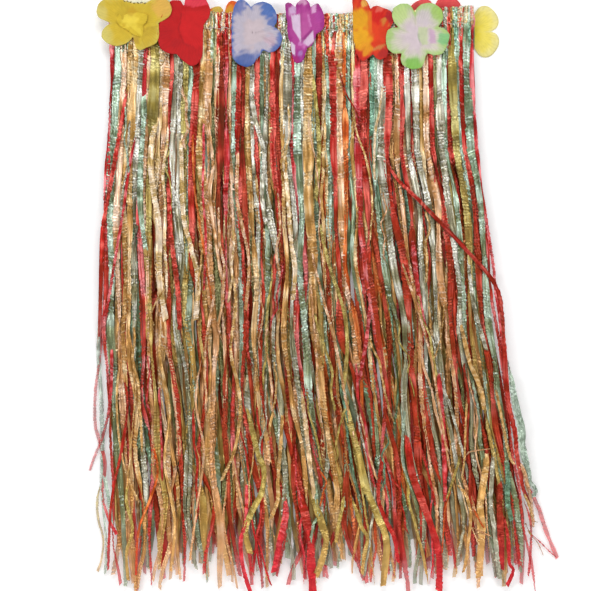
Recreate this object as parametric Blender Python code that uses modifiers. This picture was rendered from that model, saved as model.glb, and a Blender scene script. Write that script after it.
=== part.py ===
"""Hula skirt laid flat, waist toward +Y and hem toward -Y, front side up, resting on Z = 0.

The gathered waistband is a ring pressed flat. Under its lower edge hang three rows of foil strips, each
row on its own narrow backing, and six cloth flowers are sewn on each side of the band.
"""

import math
import random

import bmesh
import bpy
from mathutils import Matrix, Vector

MM = 0.001

# Driving sizes, in metres.
SKIRT_LENGTH = 0.600  # from the band's top edge to the mean hem
BAND_WIDTH = 0.389  # laid flat, from fold to fold
BAND_HEIGHT = 0.023
BAND_BOW = 0.0112  # how much higher than its middle the band's end lies
STITCH_DEPTH = 0.017  # from the top edge down to the sewn line
BAND_LOW = 0.0027  # plain outer faces of the band's two walls, above the surface
BAND_HIGH = 0.0095
WALL = 0.0022
GATHER = 0.0008  # how far a gather stands out
GATHERS_A_SIDE = 45
FOLD_STEPS = 6  # sections around each folded end
BAR_GAP = 0.00035  # between the band's edge and a backing
BAR_DEPTH = 0.003  # of a backing, along the strips
BAR_INSET = 0.0004  # of a backing from the band's folds
STRIP_THICK = 0.0011
PETAL_THICK = 0.001  # flowers on the front
PRESSED_THICK = 0.0016  # flowers pressed under the back
FLOWER_SEAT = 0.01065  # underside of a front flower's middle, above the surface

# Places are read on a measuring grid, columns to the right and rows down from the waist.
GRID_LENGTH = 561.0  # rows along the skirt
STEP = SKIRT_LENGTH / GRID_LENGTH  # metres for one row or column
ORIGIN_COLUMN = 323.0  # grid place over the origin
ORIGIN_ROW = 293.37
BAND_MIDDLE = 291.75  # column of the band's middle
BAND_TOP = 14.5  # row of its top edge
BOW_MIDDLE = 300.0  # column where the band lies lowest
BOW_REACH = 190.0  # columns from there to where it is higher by BAND_BOW

BAND_LEFT = BAND_MIDDLE - BAND_WIDTH / 2 / STEP
BAND_RIGHT = BAND_MIDDLE + BAND_WIDTH / 2 / STEP

# Outline of the hanging strips, (row, column), left and right.
EDGE_LEFT = ((36, 110), (60, 109), (100, 106), (150, 104), (200, 101.5), (280, 102), (330, 99),
             (380, 95), (430, 96.5), (480, 99), (560, 100), (605, 101))
EDGE_RIGHT = ((36, 473.5), (100, 477), (150, 479), (200, 487), (240, 491), (280, 495), (330, 500),
              (400, 509), (460, 518), (500, 526), (550, 532), (605, 536))
EDGE_INSET = 3.0  # columns from the outline to the first lane

# Each row of strips: the heights of its backing and of the lying strips at the middle and the end, how
# much they wave up and down and tilt, in millimetres and degrees, how many there are, where along a strip
# its sections are, the grid rows between which strips end, and how far they sway, in columns.
ROWS = {
    "fringe_back_lower": dict(
        bar=(2.0, 4.4), lie=(0.55, 0.55), wave=0.0, tilt=0.0, count=52, ends=(560, 590), sway=3.6,
        sections=(0.062, 0.13, 0.36, 0.57, 0.79, 1.0), phase=0.7, seed=11, colour=(0.46, 0.60, 0.48)),
    "fringe_front_under": dict(
        bar=(4.7, 7.0), lie=(4.6, 3.6), wave=1.0, tilt=8.0, count=50, ends=(556, 588), sway=4.2,
        sections=(0.09, 0.24, 0.43, 0.62, 0.81, 1.0), phase=2.6, seed=23, colour=(0.74, 0.56, 0.27)),
    "fringe_front_top": dict(
        bar=(7.3, 9.6), lie=(10.8, 8.8), wave=1.2, tilt=10.0, count=52, ends=(548, 596), sway=4.6,
        sections=(0.07, 0.18, 0.31, 0.45, 0.59, 0.73, 0.87, 1.0), phase=4.4, seed=37,
        colour=(0.66, 0.17, 0.14)),
}
TOP_ROW = "fringe_front_top"
ROOT_SHARE = 0.62  # width of a strip's root, as a share of the space for one strip
OVER_FLOWERS = 2.45  # height in millimetres of the back strips where they cross the pressed flowers
FLOWERS_END = (70, 98)  # grid rows between which those strips come down to the surface
LEVEL_FROM = 0.16  # share of a strip's length after which it lies level
SETTLE_FROM = 0.72  # share of the length after which it goes to its end's height
SPREAD_BY = 0.12  # share of the length by which it has left its root's column
LOOSE_ROWS = 150  # rows below the backing over which the swaying begins
SWAY_WAVES = ((0.6, 88, 33, 1), (0.4, 41, 24, 2))  # share, rows, columns and phases of each wave
WOBBLE = 0.9  # columns that a strip wavers by itself, over WOBBLE_ROWS
WOBBLE_ROWS = 60
WAVE_ROWS = 52  # rows of the waving up and down
WIDTHS = (0.92, 1.1)  # least and greatest width, as a share of the root's
END_TAPER = 0.45  # share of the width lost toward the end
SLANT = 0.0016  # metres by which an end is cut askew

# Pairs of neighbouring strips of the top row that change places: first lane, and the row where they do.
CROSSINGS = ((7, 330), (12, 420), (16, 360), (20, 440), (24, 390), (29, 430), (33, 350), (36, 455))
CROSSING_LIFT = 2.8  # millimetres that one of the pair passes over the other
CROSSING_ROWS = 95  # rows that the change takes
LIFT_ROWS = (90, 10)  # rows before it between which the one rises

# Strips of the top row that leave their lane: lane number and the (column, row) places they run through.
STRAYS = {
    0: dict(over=False, places=((112, 45), (107, 110), (105, 190), (104, 270), (101, 340), (97, 395),
                                (99, 440), (89, 472))),
    2: dict(over=True, places=((128, 45), (127, 90), (118, 145), (109, 196), (102, 232), (100, 300),
                               (98, 372), (104, 450), (112, 545))),
    39: dict(over=True, places=((388, 45), (387, 110), (391, 168), (425, 204), (463, 244), (498, 287),
                                (507, 352), (511, 430), (503, 556))),
    51: dict(over=False, places=((472, 45), (477, 130), (485, 200), (494, 290), (503, 380), (517, 455),
                                 (533, 500), (545, 520), (557, 556))),
}
STRAY_HEIGHT = 15.0  # millimetres, where such a strip lies over its neighbours

# Flowers: the grid place of the middle, how far out the notches between petals are as a share of the
# petals' reach, then each petal as (direction in degrees, reach in columns, lift in millimetres).
FRONT_FLOWERS = {
    "flower_front_yellow": dict(at=(137, 20), neck=0.68, colour=(0.88, 0.78, 0.22), petals=(
        (18, 35, 6.5), (84, 25, 3.0), (150, 42, 3.5), (222, 40, 2.6), (300, 33, 4.4))),
    "flower_front_red": dict(at=(186, 27), neck=0.92, colour=(0.82, 0.08, 0.09), petals=(
        (2, 20, 3.0), (64, 34, 4.0), (132, 28, 1.8), (202, 28, 1.8), (280, 41, 2.6))),
    "flower_front_blue": dict(at=(254, 33), neck=0.88, colour=(0.45, 0.55, 0.82), petals=(
        (60, 34, 3.5), (124, 35, 4.0), (188, 23, 2.6), (258, 35, 2.8), (334, 29, 4.0))),
    "flower_front_magenta": dict(at=(303, 31), neck=0.86, colour=(0.74, 0.28, 0.62), petals=(
        (4, 19, 3.5), (56, 31, 5.5), (89, 30, 5.0), (116, 31, 4.0), (190, 18, 3.5), (266, 33, 2.8))),
    "flower_front_orange": dict(at=(373, 31), neck=0.90, colour=(0.90, 0.38, 0.12), petals=(
        (34, 26, 1.8), (98, 29, 3.0), (122, 36, 4.0), (200, 19, 3.6), (258, 33, 2.8), (322, 24, 1.6))),
    "flower_front_green": dict(at=(417, 37), neck=0.56, colour=(0.66, 0.80, 0.52), petals=(
        (354, 32, 3.0), (57, 37, 3.4), (125, 38, 6.0), (188, 30, 6.5), (262, 33, 3.0))),
}
# The pressed flowers lie flat, so their petals have a direction and a reach alone.
BACK_FLOWERS = {
    "flower_back_cream": dict(at=(163, 27), colour=(0.84, 0.86, 0.68), petals=(
        (20, 27), (92, 29), (160, 27), (234, 26), (306, 26))),
    "flower_back_gold": dict(at=(222, 33), colour=(0.88, 0.56, 0.16), petals=(
        (16, 24), (68, 35), (102, 28), (180, 24), (240, 26), (300, 26))),
    "flower_back_blue": dict(at=(286, 38), colour=(0.34, 0.38, 0.72), petals=(
        (18, 24), (90, 22), (162, 24), (234, 26), (306, 26))),
    "flower_back_magenta": dict(at=(350, 38), colour=(0.70, 0.24, 0.55), petals=(
        (18, 24), (90, 22), (162, 24), (234, 26), (306, 26))),
    "flower_back_red": dict(at=(432, 31), colour=(0.80, 0.12, 0.14), petals=(
        (10, 20), (42, 37), (72, 32), (118, 32), (190, 25), (262, 26), (318, 20))),
    "flower_side_yellow": dict(at=(471, 32), colour=(0.91, 0.83, 0.40), petals=(
        (46, 32), (118, 13), (180, 11), (242, 14), (322, 31))),
}
PRESSED_NECK = 0.6
PETAL_SHARES = (0.0, 0.16, 0.36, 0.5, 0.64, 0.84)  # outline points of a petal, from its notch
PETAL_ROUND = (3.0, 0.6)  # powers that give a petal its round end
CUP_RING = (0.25, 5.5)  # ring between middle and edge: share of the reach, plus columns
CUP_LIFT = 0.38  # share of the petal's lift on that ring

BAND_COLOUR = (0.70, 0.50, 0.30)


def grid(column, row, height):
    """World point of a grid place, with its height in millimetres."""
    return Vector(((column - ORIGIN_COLUMN) * STEP, (ORIGIN_ROW - row) * STEP, height * MM))


def band_row(column, depth):
    """Grid row of the band at a column, at a depth in metres below its top edge."""
    bow = BAND_BOW * ((column - BOW_MIDDLE) / BOW_REACH) ** 2
    return BAND_TOP + (depth - bow) / STEP


def root_place(share):
    """Column and row where a strip leaves its backing, at a share of the band's width."""
    column = BAND_LEFT + share * (BAND_RIGHT - BAND_LEFT)
    return column, band_row(column, BAND_HEIGHT + BAR_GAP + BAR_DEPTH)


def read_line(points, row):
    """Column of an outline at a row, straight between its points."""
    for (r0, c0), (r1, c1) in zip(points, points[1:]):
        if row <= r1:
            return c0 + (c1 - c0) * max(0.0, (row - r0) / (r1 - r0))
    return points[-1][1]


def ease(low, high, value):
    """Smooth step from 0 at low to 1 at high."""
    share = min(1.0, max(0.0, (value - low) / (high - low)))
    return share * share * (3 - 2 * share)


def verts_of(made):
    """The vertices of what a bmesh operator made."""
    return [item for item in made if isinstance(item, bmesh.types.BMVert)]


def principled(name, colour, roughness, metallic=0.0):
    """A Principled material of one colour."""
    material = bpy.data.materials.new(name)
    material.use_nodes = True
    shader = material.node_tree.nodes["Principled BSDF"]
    shader.inputs["Base Color"].default_value = (*colour, 1.0)
    shader.inputs["Roughness"].default_value = roughness
    shader.inputs["Metallic"].default_value = metallic
    return material


def finish_piece(name, bm, collection, parent, material, location=(0, 0, 0)):
    """Makes the named object from a bmesh, with its normals all one way."""
    bmesh.ops.recalc_face_normals(bm, faces=bm.faces[:])
    mesh = bpy.data.meshes.new(name)
    bm.to_mesh(mesh)
    bm.free()
    mesh.materials.append(material)
    piece = bpy.data.objects.new(name, mesh)
    piece.location = location
    piece.parent = parent
    collection.objects.link(piece)
    return piece


def ring_place(station, out):
    """Column and height in millimetres on the flattened ring, out metres from its plain outer face."""
    half = (BAND_HIGH - BAND_LOW) / 2
    middle = (BAND_HIGH + BAND_LOW) / 2
    reach = half + out
    side = 2 * GATHERS_A_SIDE
    first = BAND_LEFT + half / STEP
    last = BAND_RIGHT - half / STEP
    if station <= side:
        return first + (last - first) * station / side, (middle + reach) / MM
    if station <= side + FOLD_STEPS:
        turn = math.pi * (station - side) / FOLD_STEPS
        return last + reach / STEP * math.sin(turn), (middle + reach * math.cos(turn)) / MM
    if station <= 2 * side + FOLD_STEPS:
        along = station - side - FOLD_STEPS
        return last - (last - first) * along / side, (middle - reach) / MM
    turn = math.pi * (station - 2 * side - FOLD_STEPS) / FOLD_STEPS
    return first - reach / STEP * math.sin(turn), (middle - reach * math.cos(turn)) / MM


def make_waistband(collection, parent):
    """Gathered ring: ribbed outside from its lower edge to its top, plain inside."""
    # Depth below the top edge, share of a gather that stands out there, and inset from the outer face.
    profile = ((BAND_HEIGHT, 0.9, 0.0), (STITCH_DEPTH, 0.15, 0.0), (0.0032, 1.0, 0.0),
               (0.0, 0.3, 0.0005), (0.0004, 0.0, WALL), (BAND_HEIGHT - 0.0004, 0.0, WALL))

    def place(station, line):
        depth, share, inset = profile[line]
        raised = GATHER * share if station % 2 else 0.0
        column, height = ring_place(station, raised - inset)
        return grid(column, band_row(column, depth), height)

    bm = bmesh.new()
    bmesh.ops.create_circle(bm, segments=4 * GATHERS_A_SIDE + 2 * FOLD_STEPS, radius=1.0)
    ring = {vert: number for number, vert in enumerate(bm.verts)}
    first_edges = list(bm.edges)
    edges = first_edges
    for vert, number in ring.items():
        vert.co = place(number, 0)
    for line in range(1, len(profile)):
        made = bmesh.ops.extrude_edge_only(bm, edges=edges)["geom"]
        edges = [item for item in made if isinstance(item, bmesh.types.BMEdge)]
        fresh = {}
        for vert in verts_of(made):
            old = next(e.other_vert(vert) for e in vert.link_edges if e.other_vert(vert) in ring)
            fresh[vert] = ring[old]
            vert.co = place(ring[old], line)
        ring = fresh
    bmesh.ops.bridge_loops(bm, edges=first_edges + edges)
    return finish_piece("waistband", bm, collection, parent,
                        principled("band_foil", BAND_COLOUR, 0.35, 0.3))


def lane_path(spec, lane, end, shift, rng):
    """Centre line of a strip that keeps to its lane, as a function of the share of its length."""
    share = (lane + 0.5) / spec["count"]
    root_column, root_row = root_place(share)
    bar_mid = sum(spec["bar"]) / 2
    lie_mid, lie_end = spec["lie"]
    wobble = rng.uniform(-WOBBLE, WOBBLE)
    wobble_start = rng.uniform(0, math.tau)
    own_start = rng.uniform(0, math.tau)
    wave_start = shift["wave_start"] if shift else own_start
    sway = spec["sway"] * (0.35 + 2.6 * share * (1 - share))  # most at the middle of the skirt
    rise_from, rise_to = LIFT_ROWS

    def path(t):
        row = root_row + t * (end - root_row)
        left = read_line(EDGE_LEFT, row) + EDGE_INSET
        right = read_line(EDGE_RIGHT, row) - EDGE_INSET
        moved = share
        lift = 0.0
        if shift:
            moved += shift["by"] / spec["count"] * ease(shift["row"], shift["row"] + CROSSING_ROWS, row)
            lift = shift["lift"] * ease(shift["row"] - rise_from, shift["row"] - rise_to, row)
        column = left + moved * (right - left)
        grown = ease(root_row, root_row + LOOSE_ROWS, row)
        lane_column = column
        for part, rows, columns, phases in SWAY_WAVES:
            angle = row / rows + lane_column / columns + phases * spec["phase"]
            column += sway * grown * part * math.sin(angle)
        column += wobble * grown * math.sin(row / WOBBLE_ROWS + wobble_start) * (0.5 + ease(380, 560, row))
        column += (root_column - column) * (1 - ease(0.0, SPREAD_BY, t))
        if lie_mid < OVER_FLOWERS:
            height = OVER_FLOWERS + (lie_mid - OVER_FLOWERS) * ease(*FLOWERS_END, row)
        else:
            height = bar_mid + (lie_mid - bar_mid) * ease(0.0, LEVEL_FROM, t)
        height += (lie_end - lie_mid) * ease(SETTLE_FROM, 1.0, t)
        height += spec["wave"] * ease(0.1, 0.3, t) * math.sin(row / WAVE_ROWS + wave_start)
        return grid(column, row, height + lift)

    return path


def stray_path(spec, lane, stray):
    """Centre line of a strip through its given places, read from a smooth curve."""
    bar_mid = sum(spec["bar"]) / 2
    lie_mid, lie_end = spec["lie"]
    knots = [Vector(root_place((lane + 0.5) / spec["count"]))]
    knots += [Vector(place) for place in stray["places"]]
    runs = [0.0]
    for a, b in zip(knots, knots[1:]):
        runs.append(runs[-1] + (b - a).length)

    def path(t):
        run = min(t, 1.0) * runs[-1]
        k = next(i for i, length in enumerate(runs[1:]) if run <= length)
        u = (run - runs[k]) / (runs[k + 1] - runs[k])
        before, start, stop = knots[max(0, k - 1)], knots[k], knots[k + 1]
        after = knots[min(len(knots) - 1, k + 2)]
        point = 0.5 * (2 * start + (stop - before) * u
                       + (2 * before - 5 * start + 4 * stop - after) * u ** 2
                       + (3 * start - before - 3 * stop + after) * u ** 3)
        height = bar_mid + (lie_mid - bar_mid) * ease(0.0, LEVEL_FROM, t)
        if stray["over"]:
            height += (STRAY_HEIGHT - lie_mid) * ease(0.04, 0.2, t)
        else:
            height += (lie_end - lie_mid) * ease(SETTLE_FROM, 1.0, t)
        return grid(point.x, point.y, height)

    return path


def make_backing(bm, spec):
    """The narrow bar under the band's edge. Returns the lower face that each strip grows from."""
    count = spec["count"]
    low, high = spec["bar"]
    end_inset = BAR_INSET / BAND_WIDTH
    shares = [end_inset]
    for lane in range(count):
        shares += [(lane + 0.5 - ROOT_SHARE / 2) / count, (lane + 0.5 + ROOT_SHARE / 2) / count]
    shares.append(1.0 - end_inset)
    segments = len(shares) - 1
    bmesh.ops.create_grid(bm, x_segments=segments, y_segments=1, size=1.0)
    numbers = {}
    for vert in bm.verts:
        numbers[vert] = round((vert.co.x + 1) / 2 * segments)
        column, row = root_place(shares[numbers[vert]])
        vert.co = grid(column, row, low if vert.co.y < 0 else high)
    roots = {}
    for face in bm.faces:
        number = min(numbers[v] for v in face.verts)
        if number % 2:
            roots[number // 2] = face
    for vert in verts_of(bmesh.ops.extrude_face_region(bm, geom=bm.faces[:])["geom"]):
        vert.co.y += BAR_DEPTH
    return roots


def make_fringe(name, collection, parent):
    """One backing with its strips, each grown from the backing's lower face section by section."""
    spec = ROWS[name]
    rng = random.Random(spec["seed"])
    root_width = ROOT_SHARE * BAND_WIDTH / spec["count"]
    shifts = {}
    strays = {}
    if name == TOP_ROW:
        strays = STRAYS
        for lane, row in CROSSINGS:
            shifts[lane] = dict(by=1, row=row, lift=CROSSING_LIFT, wave_start=lane)
            shifts[lane + 1] = dict(by=-1, row=row, lift=0.0, wave_start=lane)

    bm = bmesh.new()
    strips = {}
    for lane, face in make_backing(bm, spec).items():
        end = rng.uniform(*spec["ends"])
        path = lane_path(spec, lane, end, shifts.get(lane), rng)
        if lane in strays:
            path = stray_path(spec, lane, strays[lane])
        middle = face.calc_center_median()
        corners = [vert.co.copy() for vert in face.verts]
        signs = [(1 if c.x > middle.x else -1, 1 if c.z > middle.z else -1) for c in corners]
        strips[lane] = dict(face=face, path=path, corners=corners, signs=signs,
                            wide=rng.uniform(*WIDTHS), slant=rng.uniform(-SLANT, SLANT),
                            tilt=math.radians(rng.uniform(-1, 1) * spec["tilt"]))

    for t in spec["sections"]:
        middles = {lane: sum(strip["corners"], Vector()) / 4 for lane, strip in strips.items()}
        made = bmesh.ops.extrude_discrete_faces(bm, faces=[s["face"] for s in strips.values()])
        for face in made["faces"]:
            middle = face.calc_center_median()
            lane = min(middles, key=lambda n: (middles[n] - middle).length)
            strip = strips[lane]
            centre = strip["path"](t)
            along = (strip["path"](min(1.0, t + 0.01)) - strip["path"](t - 0.01)).normalized()
            side = Vector((0, 0, 1)).cross(along).normalized()
            turn = Matrix.Rotation(strip["tilt"] * ease(0.05, 0.25, t), 3, along)
            up = turn @ along.cross(side)
            side = turn @ side
            width = root_width * strip["wide"] * (1 - END_TAPER * ease(0.6, 1.0, t))
            slant = strip["slant"] if t == 1.0 else 0.0
            old = list(strip["corners"])
            for vert in face.verts:
                corner = min(range(4), key=lambda n: (old[n] - vert.co).length)
                across, above = strip["signs"][corner]
                vert.co = (centre + side * across * width / 2 + up * above * STRIP_THICK / 2
                           + along * across * slant)
                strip["corners"][corner] = vert.co.copy()
            strip["face"] = face
    return finish_piece(name, bm, collection, parent,
                        principled(name + "_foil", spec["colour"], 0.3, 0.4))


def petal_outline(petals, neck_share):
    """Outline points of a flower as (angle, reach, lift): for each petal a notch, then its round end."""
    ordered = sorted(petals)
    points = []
    for number, petal in enumerate(ordered):
        before = ordered[number - 1]
        after = ordered[(number + 1) % len(ordered)]
        start = petal[0] - ((petal[0] - before[0]) % 360) / 2
        stop = petal[0] + ((after[0] - petal[0]) % 360) / 2
        neck = neck_share * min(petal[1], before[1])
        for share in PETAL_SHARES:
            if share < 0.5:
                angle = start + (petal[0] - start) * 2 * share
            else:
                angle = petal[0] + (stop - petal[0]) * (2 * share - 1)
            full = (1 - abs(2 * share - 1) ** PETAL_ROUND[0]) ** PETAL_ROUND[1]
            lift = 0.0
            if len(petal) > 2:
                lift = petal[2] * (0.88 + 0.12 * full) if share else 0.35 * (petal[2] + before[2])
            points.append((math.radians(angle), neck + (petal[1] - neck) * full, lift))
    return points


def numbered_ring(verts):
    """The vertices of a round ring with their numbers, counterclockwise."""
    ordered = sorted(verts, key=lambda vert: math.atan2(vert.co.y, vert.co.x))
    return {vert: number for number, vert in enumerate(ordered)}


def polar(angle, reach, lift):
    """Point at an angle, a reach in columns and a lift in millimetres."""
    return Vector((math.cos(angle) * reach * STEP, math.sin(angle) * reach * STEP, lift * MM))


def add_cloth(piece, thickness):
    """Gives an open piece the cloth's thickness, upward."""
    cloth = piece.modifiers.new("cloth", "SOLIDIFY")
    cloth.thickness = thickness
    cloth.offset = 1.0 if piece.data.polygons[0].normal.z > 0 else -1.0


def make_front_flower(name, collection, parent):
    """A cupped cloth flower: a fan, a ring, and then the petals' edge."""
    spec = FRONT_FLOWERS[name]
    outline = petal_outline(spec["petals"], spec["neck"])
    bm = bmesh.new()
    bmesh.ops.create_circle(bm, cap_ends=True, cap_tris=True, segments=len(outline), radius=1.0)
    rim = [edge for edge in bm.edges if len(edge.link_faces) == 1]
    ring = numbered_ring({vert for edge in rim for vert in edge.verts})
    for vert in verts_of(bmesh.ops.extrude_edge_only(bm, edges=rim)["geom"]):
        old = next(e.other_vert(vert) for e in vert.link_edges if e.other_vert(vert) in ring)
        vert.co = polar(*outline[ring[old]])
    for vert, number in ring.items():
        angle, reach, lift = outline[number]
        vert.co = polar(angle, CUP_RING[0] * reach + CUP_RING[1], CUP_LIFT * lift)
    piece = finish_piece(name, bm, collection, parent, principled(name + "_cloth", spec["colour"], 0.75),
                         grid(*spec["at"], FLOWER_SEAT / MM))
    add_cloth(piece, PETAL_THICK)
    piece.data.shade_smooth()


def make_pressed_flower(name, collection, parent):
    """A cloth flower pressed flat under the skirt."""
    spec = BACK_FLOWERS[name]
    outline = petal_outline(spec["petals"], PRESSED_NECK)
    bm = bmesh.new()
    bmesh.ops.create_circle(bm, cap_ends=True, segments=len(outline), radius=1.0)
    for vert, number in numbered_ring(bm.verts).items():
        vert.co = polar(*outline[number])
    piece = finish_piece(name, bm, collection, parent, principled(name + "_cloth", spec["colour"], 0.75),
                         grid(*spec["at"], 0.0))
    add_cloth(piece, PRESSED_THICK)


def main():
    for old in list(bpy.data.objects):
        bpy.data.objects.remove(old, do_unlink=True)
    collection = bpy.data.collections.new("hula_skirt")
    bpy.context.scene.collection.children.link(collection)
    parent = bpy.data.objects.new("skirt_origin", None)
    collection.objects.link(parent)

    make_waistband(collection, parent)
    for name in ROWS:
        make_fringe(name, collection, parent)
    for name in FRONT_FLOWERS:
        make_front_flower(name, collection, parent)
    for name in BACK_FLOWERS:
        make_pressed_flower(name, collection, parent)


main()
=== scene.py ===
import math

import bpy
import numpy as np
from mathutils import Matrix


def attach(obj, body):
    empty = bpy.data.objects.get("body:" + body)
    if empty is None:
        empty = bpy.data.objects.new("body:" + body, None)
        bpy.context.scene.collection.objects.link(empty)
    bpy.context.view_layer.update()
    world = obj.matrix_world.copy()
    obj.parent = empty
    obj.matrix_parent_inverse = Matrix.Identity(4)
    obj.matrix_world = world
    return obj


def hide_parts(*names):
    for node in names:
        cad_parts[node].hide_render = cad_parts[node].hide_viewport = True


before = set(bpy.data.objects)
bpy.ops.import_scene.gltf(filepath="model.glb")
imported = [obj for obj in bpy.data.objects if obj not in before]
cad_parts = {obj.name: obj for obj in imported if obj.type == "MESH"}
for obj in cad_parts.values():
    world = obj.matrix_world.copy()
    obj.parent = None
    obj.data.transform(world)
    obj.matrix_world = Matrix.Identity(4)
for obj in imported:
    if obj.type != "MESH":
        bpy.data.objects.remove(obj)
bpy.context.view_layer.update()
print("frame loaded,", len(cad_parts), "nodes")

# Places are columns to the right and rows down on one flat grid, and heights are in millimetres.
skirt = {
    "length": 0.600,         # metres from the band's top edge to the mean hem
    "rows": 561.0,           # the same length in rows
    "originColumn": 323.0,   # grid place of the frame's origin
    "originRow": 293.37,
    "bandLeft": 109.9,       # columns of the band's two folds
    "bandRight": 473.6,
    "bandTop": 14.5,         # row of the top edge where the band lies lowest
    "bandBow": 0.0112,       # metres that the band's ends lie higher
    "bowMiddle": 300.0,      # columns: where it lies lowest, and from there to an end
    "bowHalf": 190.0,
    "bandHeight": 0.023,
    "stitchDepth": 0.017,    # metres from the top edge to the sewn line
    "leftEdge": ((15, 110), (36, 110), (60, 109), (100, 106), (150, 104), (200, 101.5), (280, 102),
                 (330, 101), (380, 103), (430, 106), (480, 108), (560, 109), (605, 109)),
    "rightEdge": ((15, 473.5), (36, 473.5), (100, 477), (150, 479), (200, 487), (240, 491), (280, 495),
                  (330, 500), (400, 509), (460, 518), (500, 526), (550, 532), (605, 536)),
}
gridStep = skirt["length"] / skirt["rows"]  # metres for one row or column
mm = 0.001


def ease(low, high, value):
    share = np.clip((value - low) / (high - low), 0.0, 1.0)
    return share * share * (3 - 2 * share)


def bell(value, middle, width):
    return np.exp(-((value - middle) / width) ** 2)


def tapering(steps, value):
    # 1 at first, then less by each step's share as the value goes from its first to its second number
    rest = 1.0
    for first, last, share in steps:
        rest = rest - share * ease(first, last, value)
    return rest


def evenShares(rng, count, shift):
    # places from 0 to 1, shifted a little out of their even order
    return ((np.arange(count) + 0.5 + rng.uniform(-shift, shift, count)) / count)[:, None]


def place(column, row, height):
    # world points of grid places, the height in millimetres
    x = (column - skirt["originColumn"]) * gridStep
    y = (skirt["originRow"] - row) * gridStep
    return np.stack(np.broadcast_arrays(x, y, height * mm), axis=-1)


def bandRow(column, depth):
    # row of the band at a column, at a depth in metres below its top edge
    fromMiddle = (column - skirt["bowMiddle"]) / skirt["bowHalf"]
    return skirt["bandTop"] + (depth - skirt["bandBow"] * fromMiddle ** 2) / gridStep


def acrossBand(share, inset=0.0):
    # columns at shares of the band's width, kept off its folds by the inset
    return skirt["bandLeft"] + inset + share * (skirt["bandRight"] - skirt["bandLeft"] - 2 * inset)


def readPairs(text):
    # "12:3.4 56:7" as pairs of numbers
    return [tuple(float(value) for value in pair.split(":")) for pair in text.split()]


def readEdge(points, row):
    rows, columns = zip(*points)
    return np.interp(row, rows, columns)


def dye(red, green, blue):
    # a colour as it is seen, 0 to 255, as Blender's linear values
    seen = np.array([red, green, blue]) / 255
    return np.where(seen <= 0.04045, seen / 12.92, ((seen + 0.055) / 1.055) ** 2.4)


def smoothLines(rng, lines, knots, rows, sharp=False):
    # one random line for each strip, from -1 to 1, smooth or with sharp bends
    values = rng.uniform(-1, 1, (lines, knots))
    along = np.linspace(0, knots - 1.001, rows)
    low = along.astype(int)
    part = along - low if sharp else ease(0.0, 1.0, along - low)
    return values[:, low] * (1 - part) + values[:, low + 1] * part


def mottle(x, y, size, seed):
    # soft patches over a surface, about -1 to 1, size in metres
    rng = np.random.default_rng(seed)
    total = np.zeros(np.shape(x))
    for turn in rng.uniform(0, math.tau, 7):
        reach = rng.uniform(0.7, 1.7) * math.tau / size
        total = total + np.sin((x * math.cos(turn) + y * math.sin(turn)) * reach + rng.uniform(0, math.tau))
    return total / 3.2


def gridFaces(sheets, rows, across, closed=False):
    # corner numbers of the quads of several sheets, each rows by across points
    wide = across if closed else across - 1
    sheet = np.arange(sheets)[:, None, None] * rows * across
    line = np.arange(rows - 1)[None, :, None] * across
    step = np.arange(wide)[None, None, :]
    after = (step + 1) % across
    corners = np.stack(np.broadcast_arrays(sheet + line + step, sheet + line + after,
                                           sheet + line + across + after, sheet + line + across + step), -1)
    return corners.reshape(-1, 4)


def meshPiece(name, points, faces, tones, material, smooth, mapping=None):
    mesh = bpy.data.meshes.new(name)
    mesh.vertices.add(len(points))
    mesh.vertices.foreach_set("co", points.astype(np.float32).ravel())
    mesh.loops.add(faces.size)
    mesh.loops.foreach_set("vertex_index", faces.astype(np.int32).ravel())
    mesh.polygons.add(len(faces))
    mesh.polygons.foreach_set("loop_start", np.arange(0, faces.size, 4, dtype=np.int32))
    mesh.polygons.foreach_set("use_smooth", np.full(len(faces), smooth))
    mesh.update(calc_edges=True)
    tone = mesh.color_attributes.new("tone", "FLOAT_COLOR", "POINT")
    tone.data.foreach_set("color", tones.astype(np.float32).ravel())
    if mapping is not None:
        layer = mesh.uv_layers.new(name="OFBake")
        layer.data.foreach_set("uv", mapping[faces.ravel()].astype(np.float32).ravel())
    mesh.materials.append(material)
    piece = bpy.data.objects.new(name, mesh)
    bpy.context.scene.collection.objects.link(piece)
    return piece


def setInputs(node, values):
    for name, value in values.items():
        node.inputs[name].default_value = value


def newMaterial(name, values):
    # a material, its nodes, and its shader with these inputs
    material = bpy.data.materials.new(name)
    material.use_nodes = True
    tree = material.node_tree
    shader = tree.nodes["Principled BSDF"]
    setInputs(shader, values)
    return material, tree, shader


def addNode(tree, kind, inputs=None, **settings):
    node = tree.nodes.new("ShaderNode" + kind)
    for name, value in settings.items():
        setattr(node, name, value)
    setInputs(node, inputs or {})
    return node


def link(tree, *wires):
    # each wire: a node and its output, then a node and its input
    for source, output, target, entry in wires:
        tree.links.new(source.outputs[output], target.inputs[entry])


# Soft patches in the dye: their scale and detail, the darkest and the lightest.
filmWear = {"patches": 90.0, "detail": 3.0, "darkest": 0.78, "lightest": 1.12}
clothWear = {"patches": 160.0, "detail": 4.0, "darkest": 0.93, "lightest": 1.04}


def paintUneven(tree, shader, where, wear):
    # the painted tone, a little lighter and darker in soft patches
    tone = addNode(tree, "VertexColor", layer_name="tone")
    patches = addNode(tree, "TexNoise", {"Scale": wear["patches"], "Detail": wear["detail"]})
    uneven = addNode(tree, "MapRange", {"From Min": 0.3, "From Max": 0.7,
                                        "To Min": wear["darkest"], "To Max": wear["lightest"]})
    painted = addNode(tree, "VectorMath", operation="SCALE")
    link(tree, (where, "Object", patches, "Vector"), (patches, "Fac", uneven, "Value"),
         (tone, "Color", painted, 0), (uneven, "Result", painted, "Scale"),
         (painted, "Vector", shader, "Base Color"))
    return tone


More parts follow.
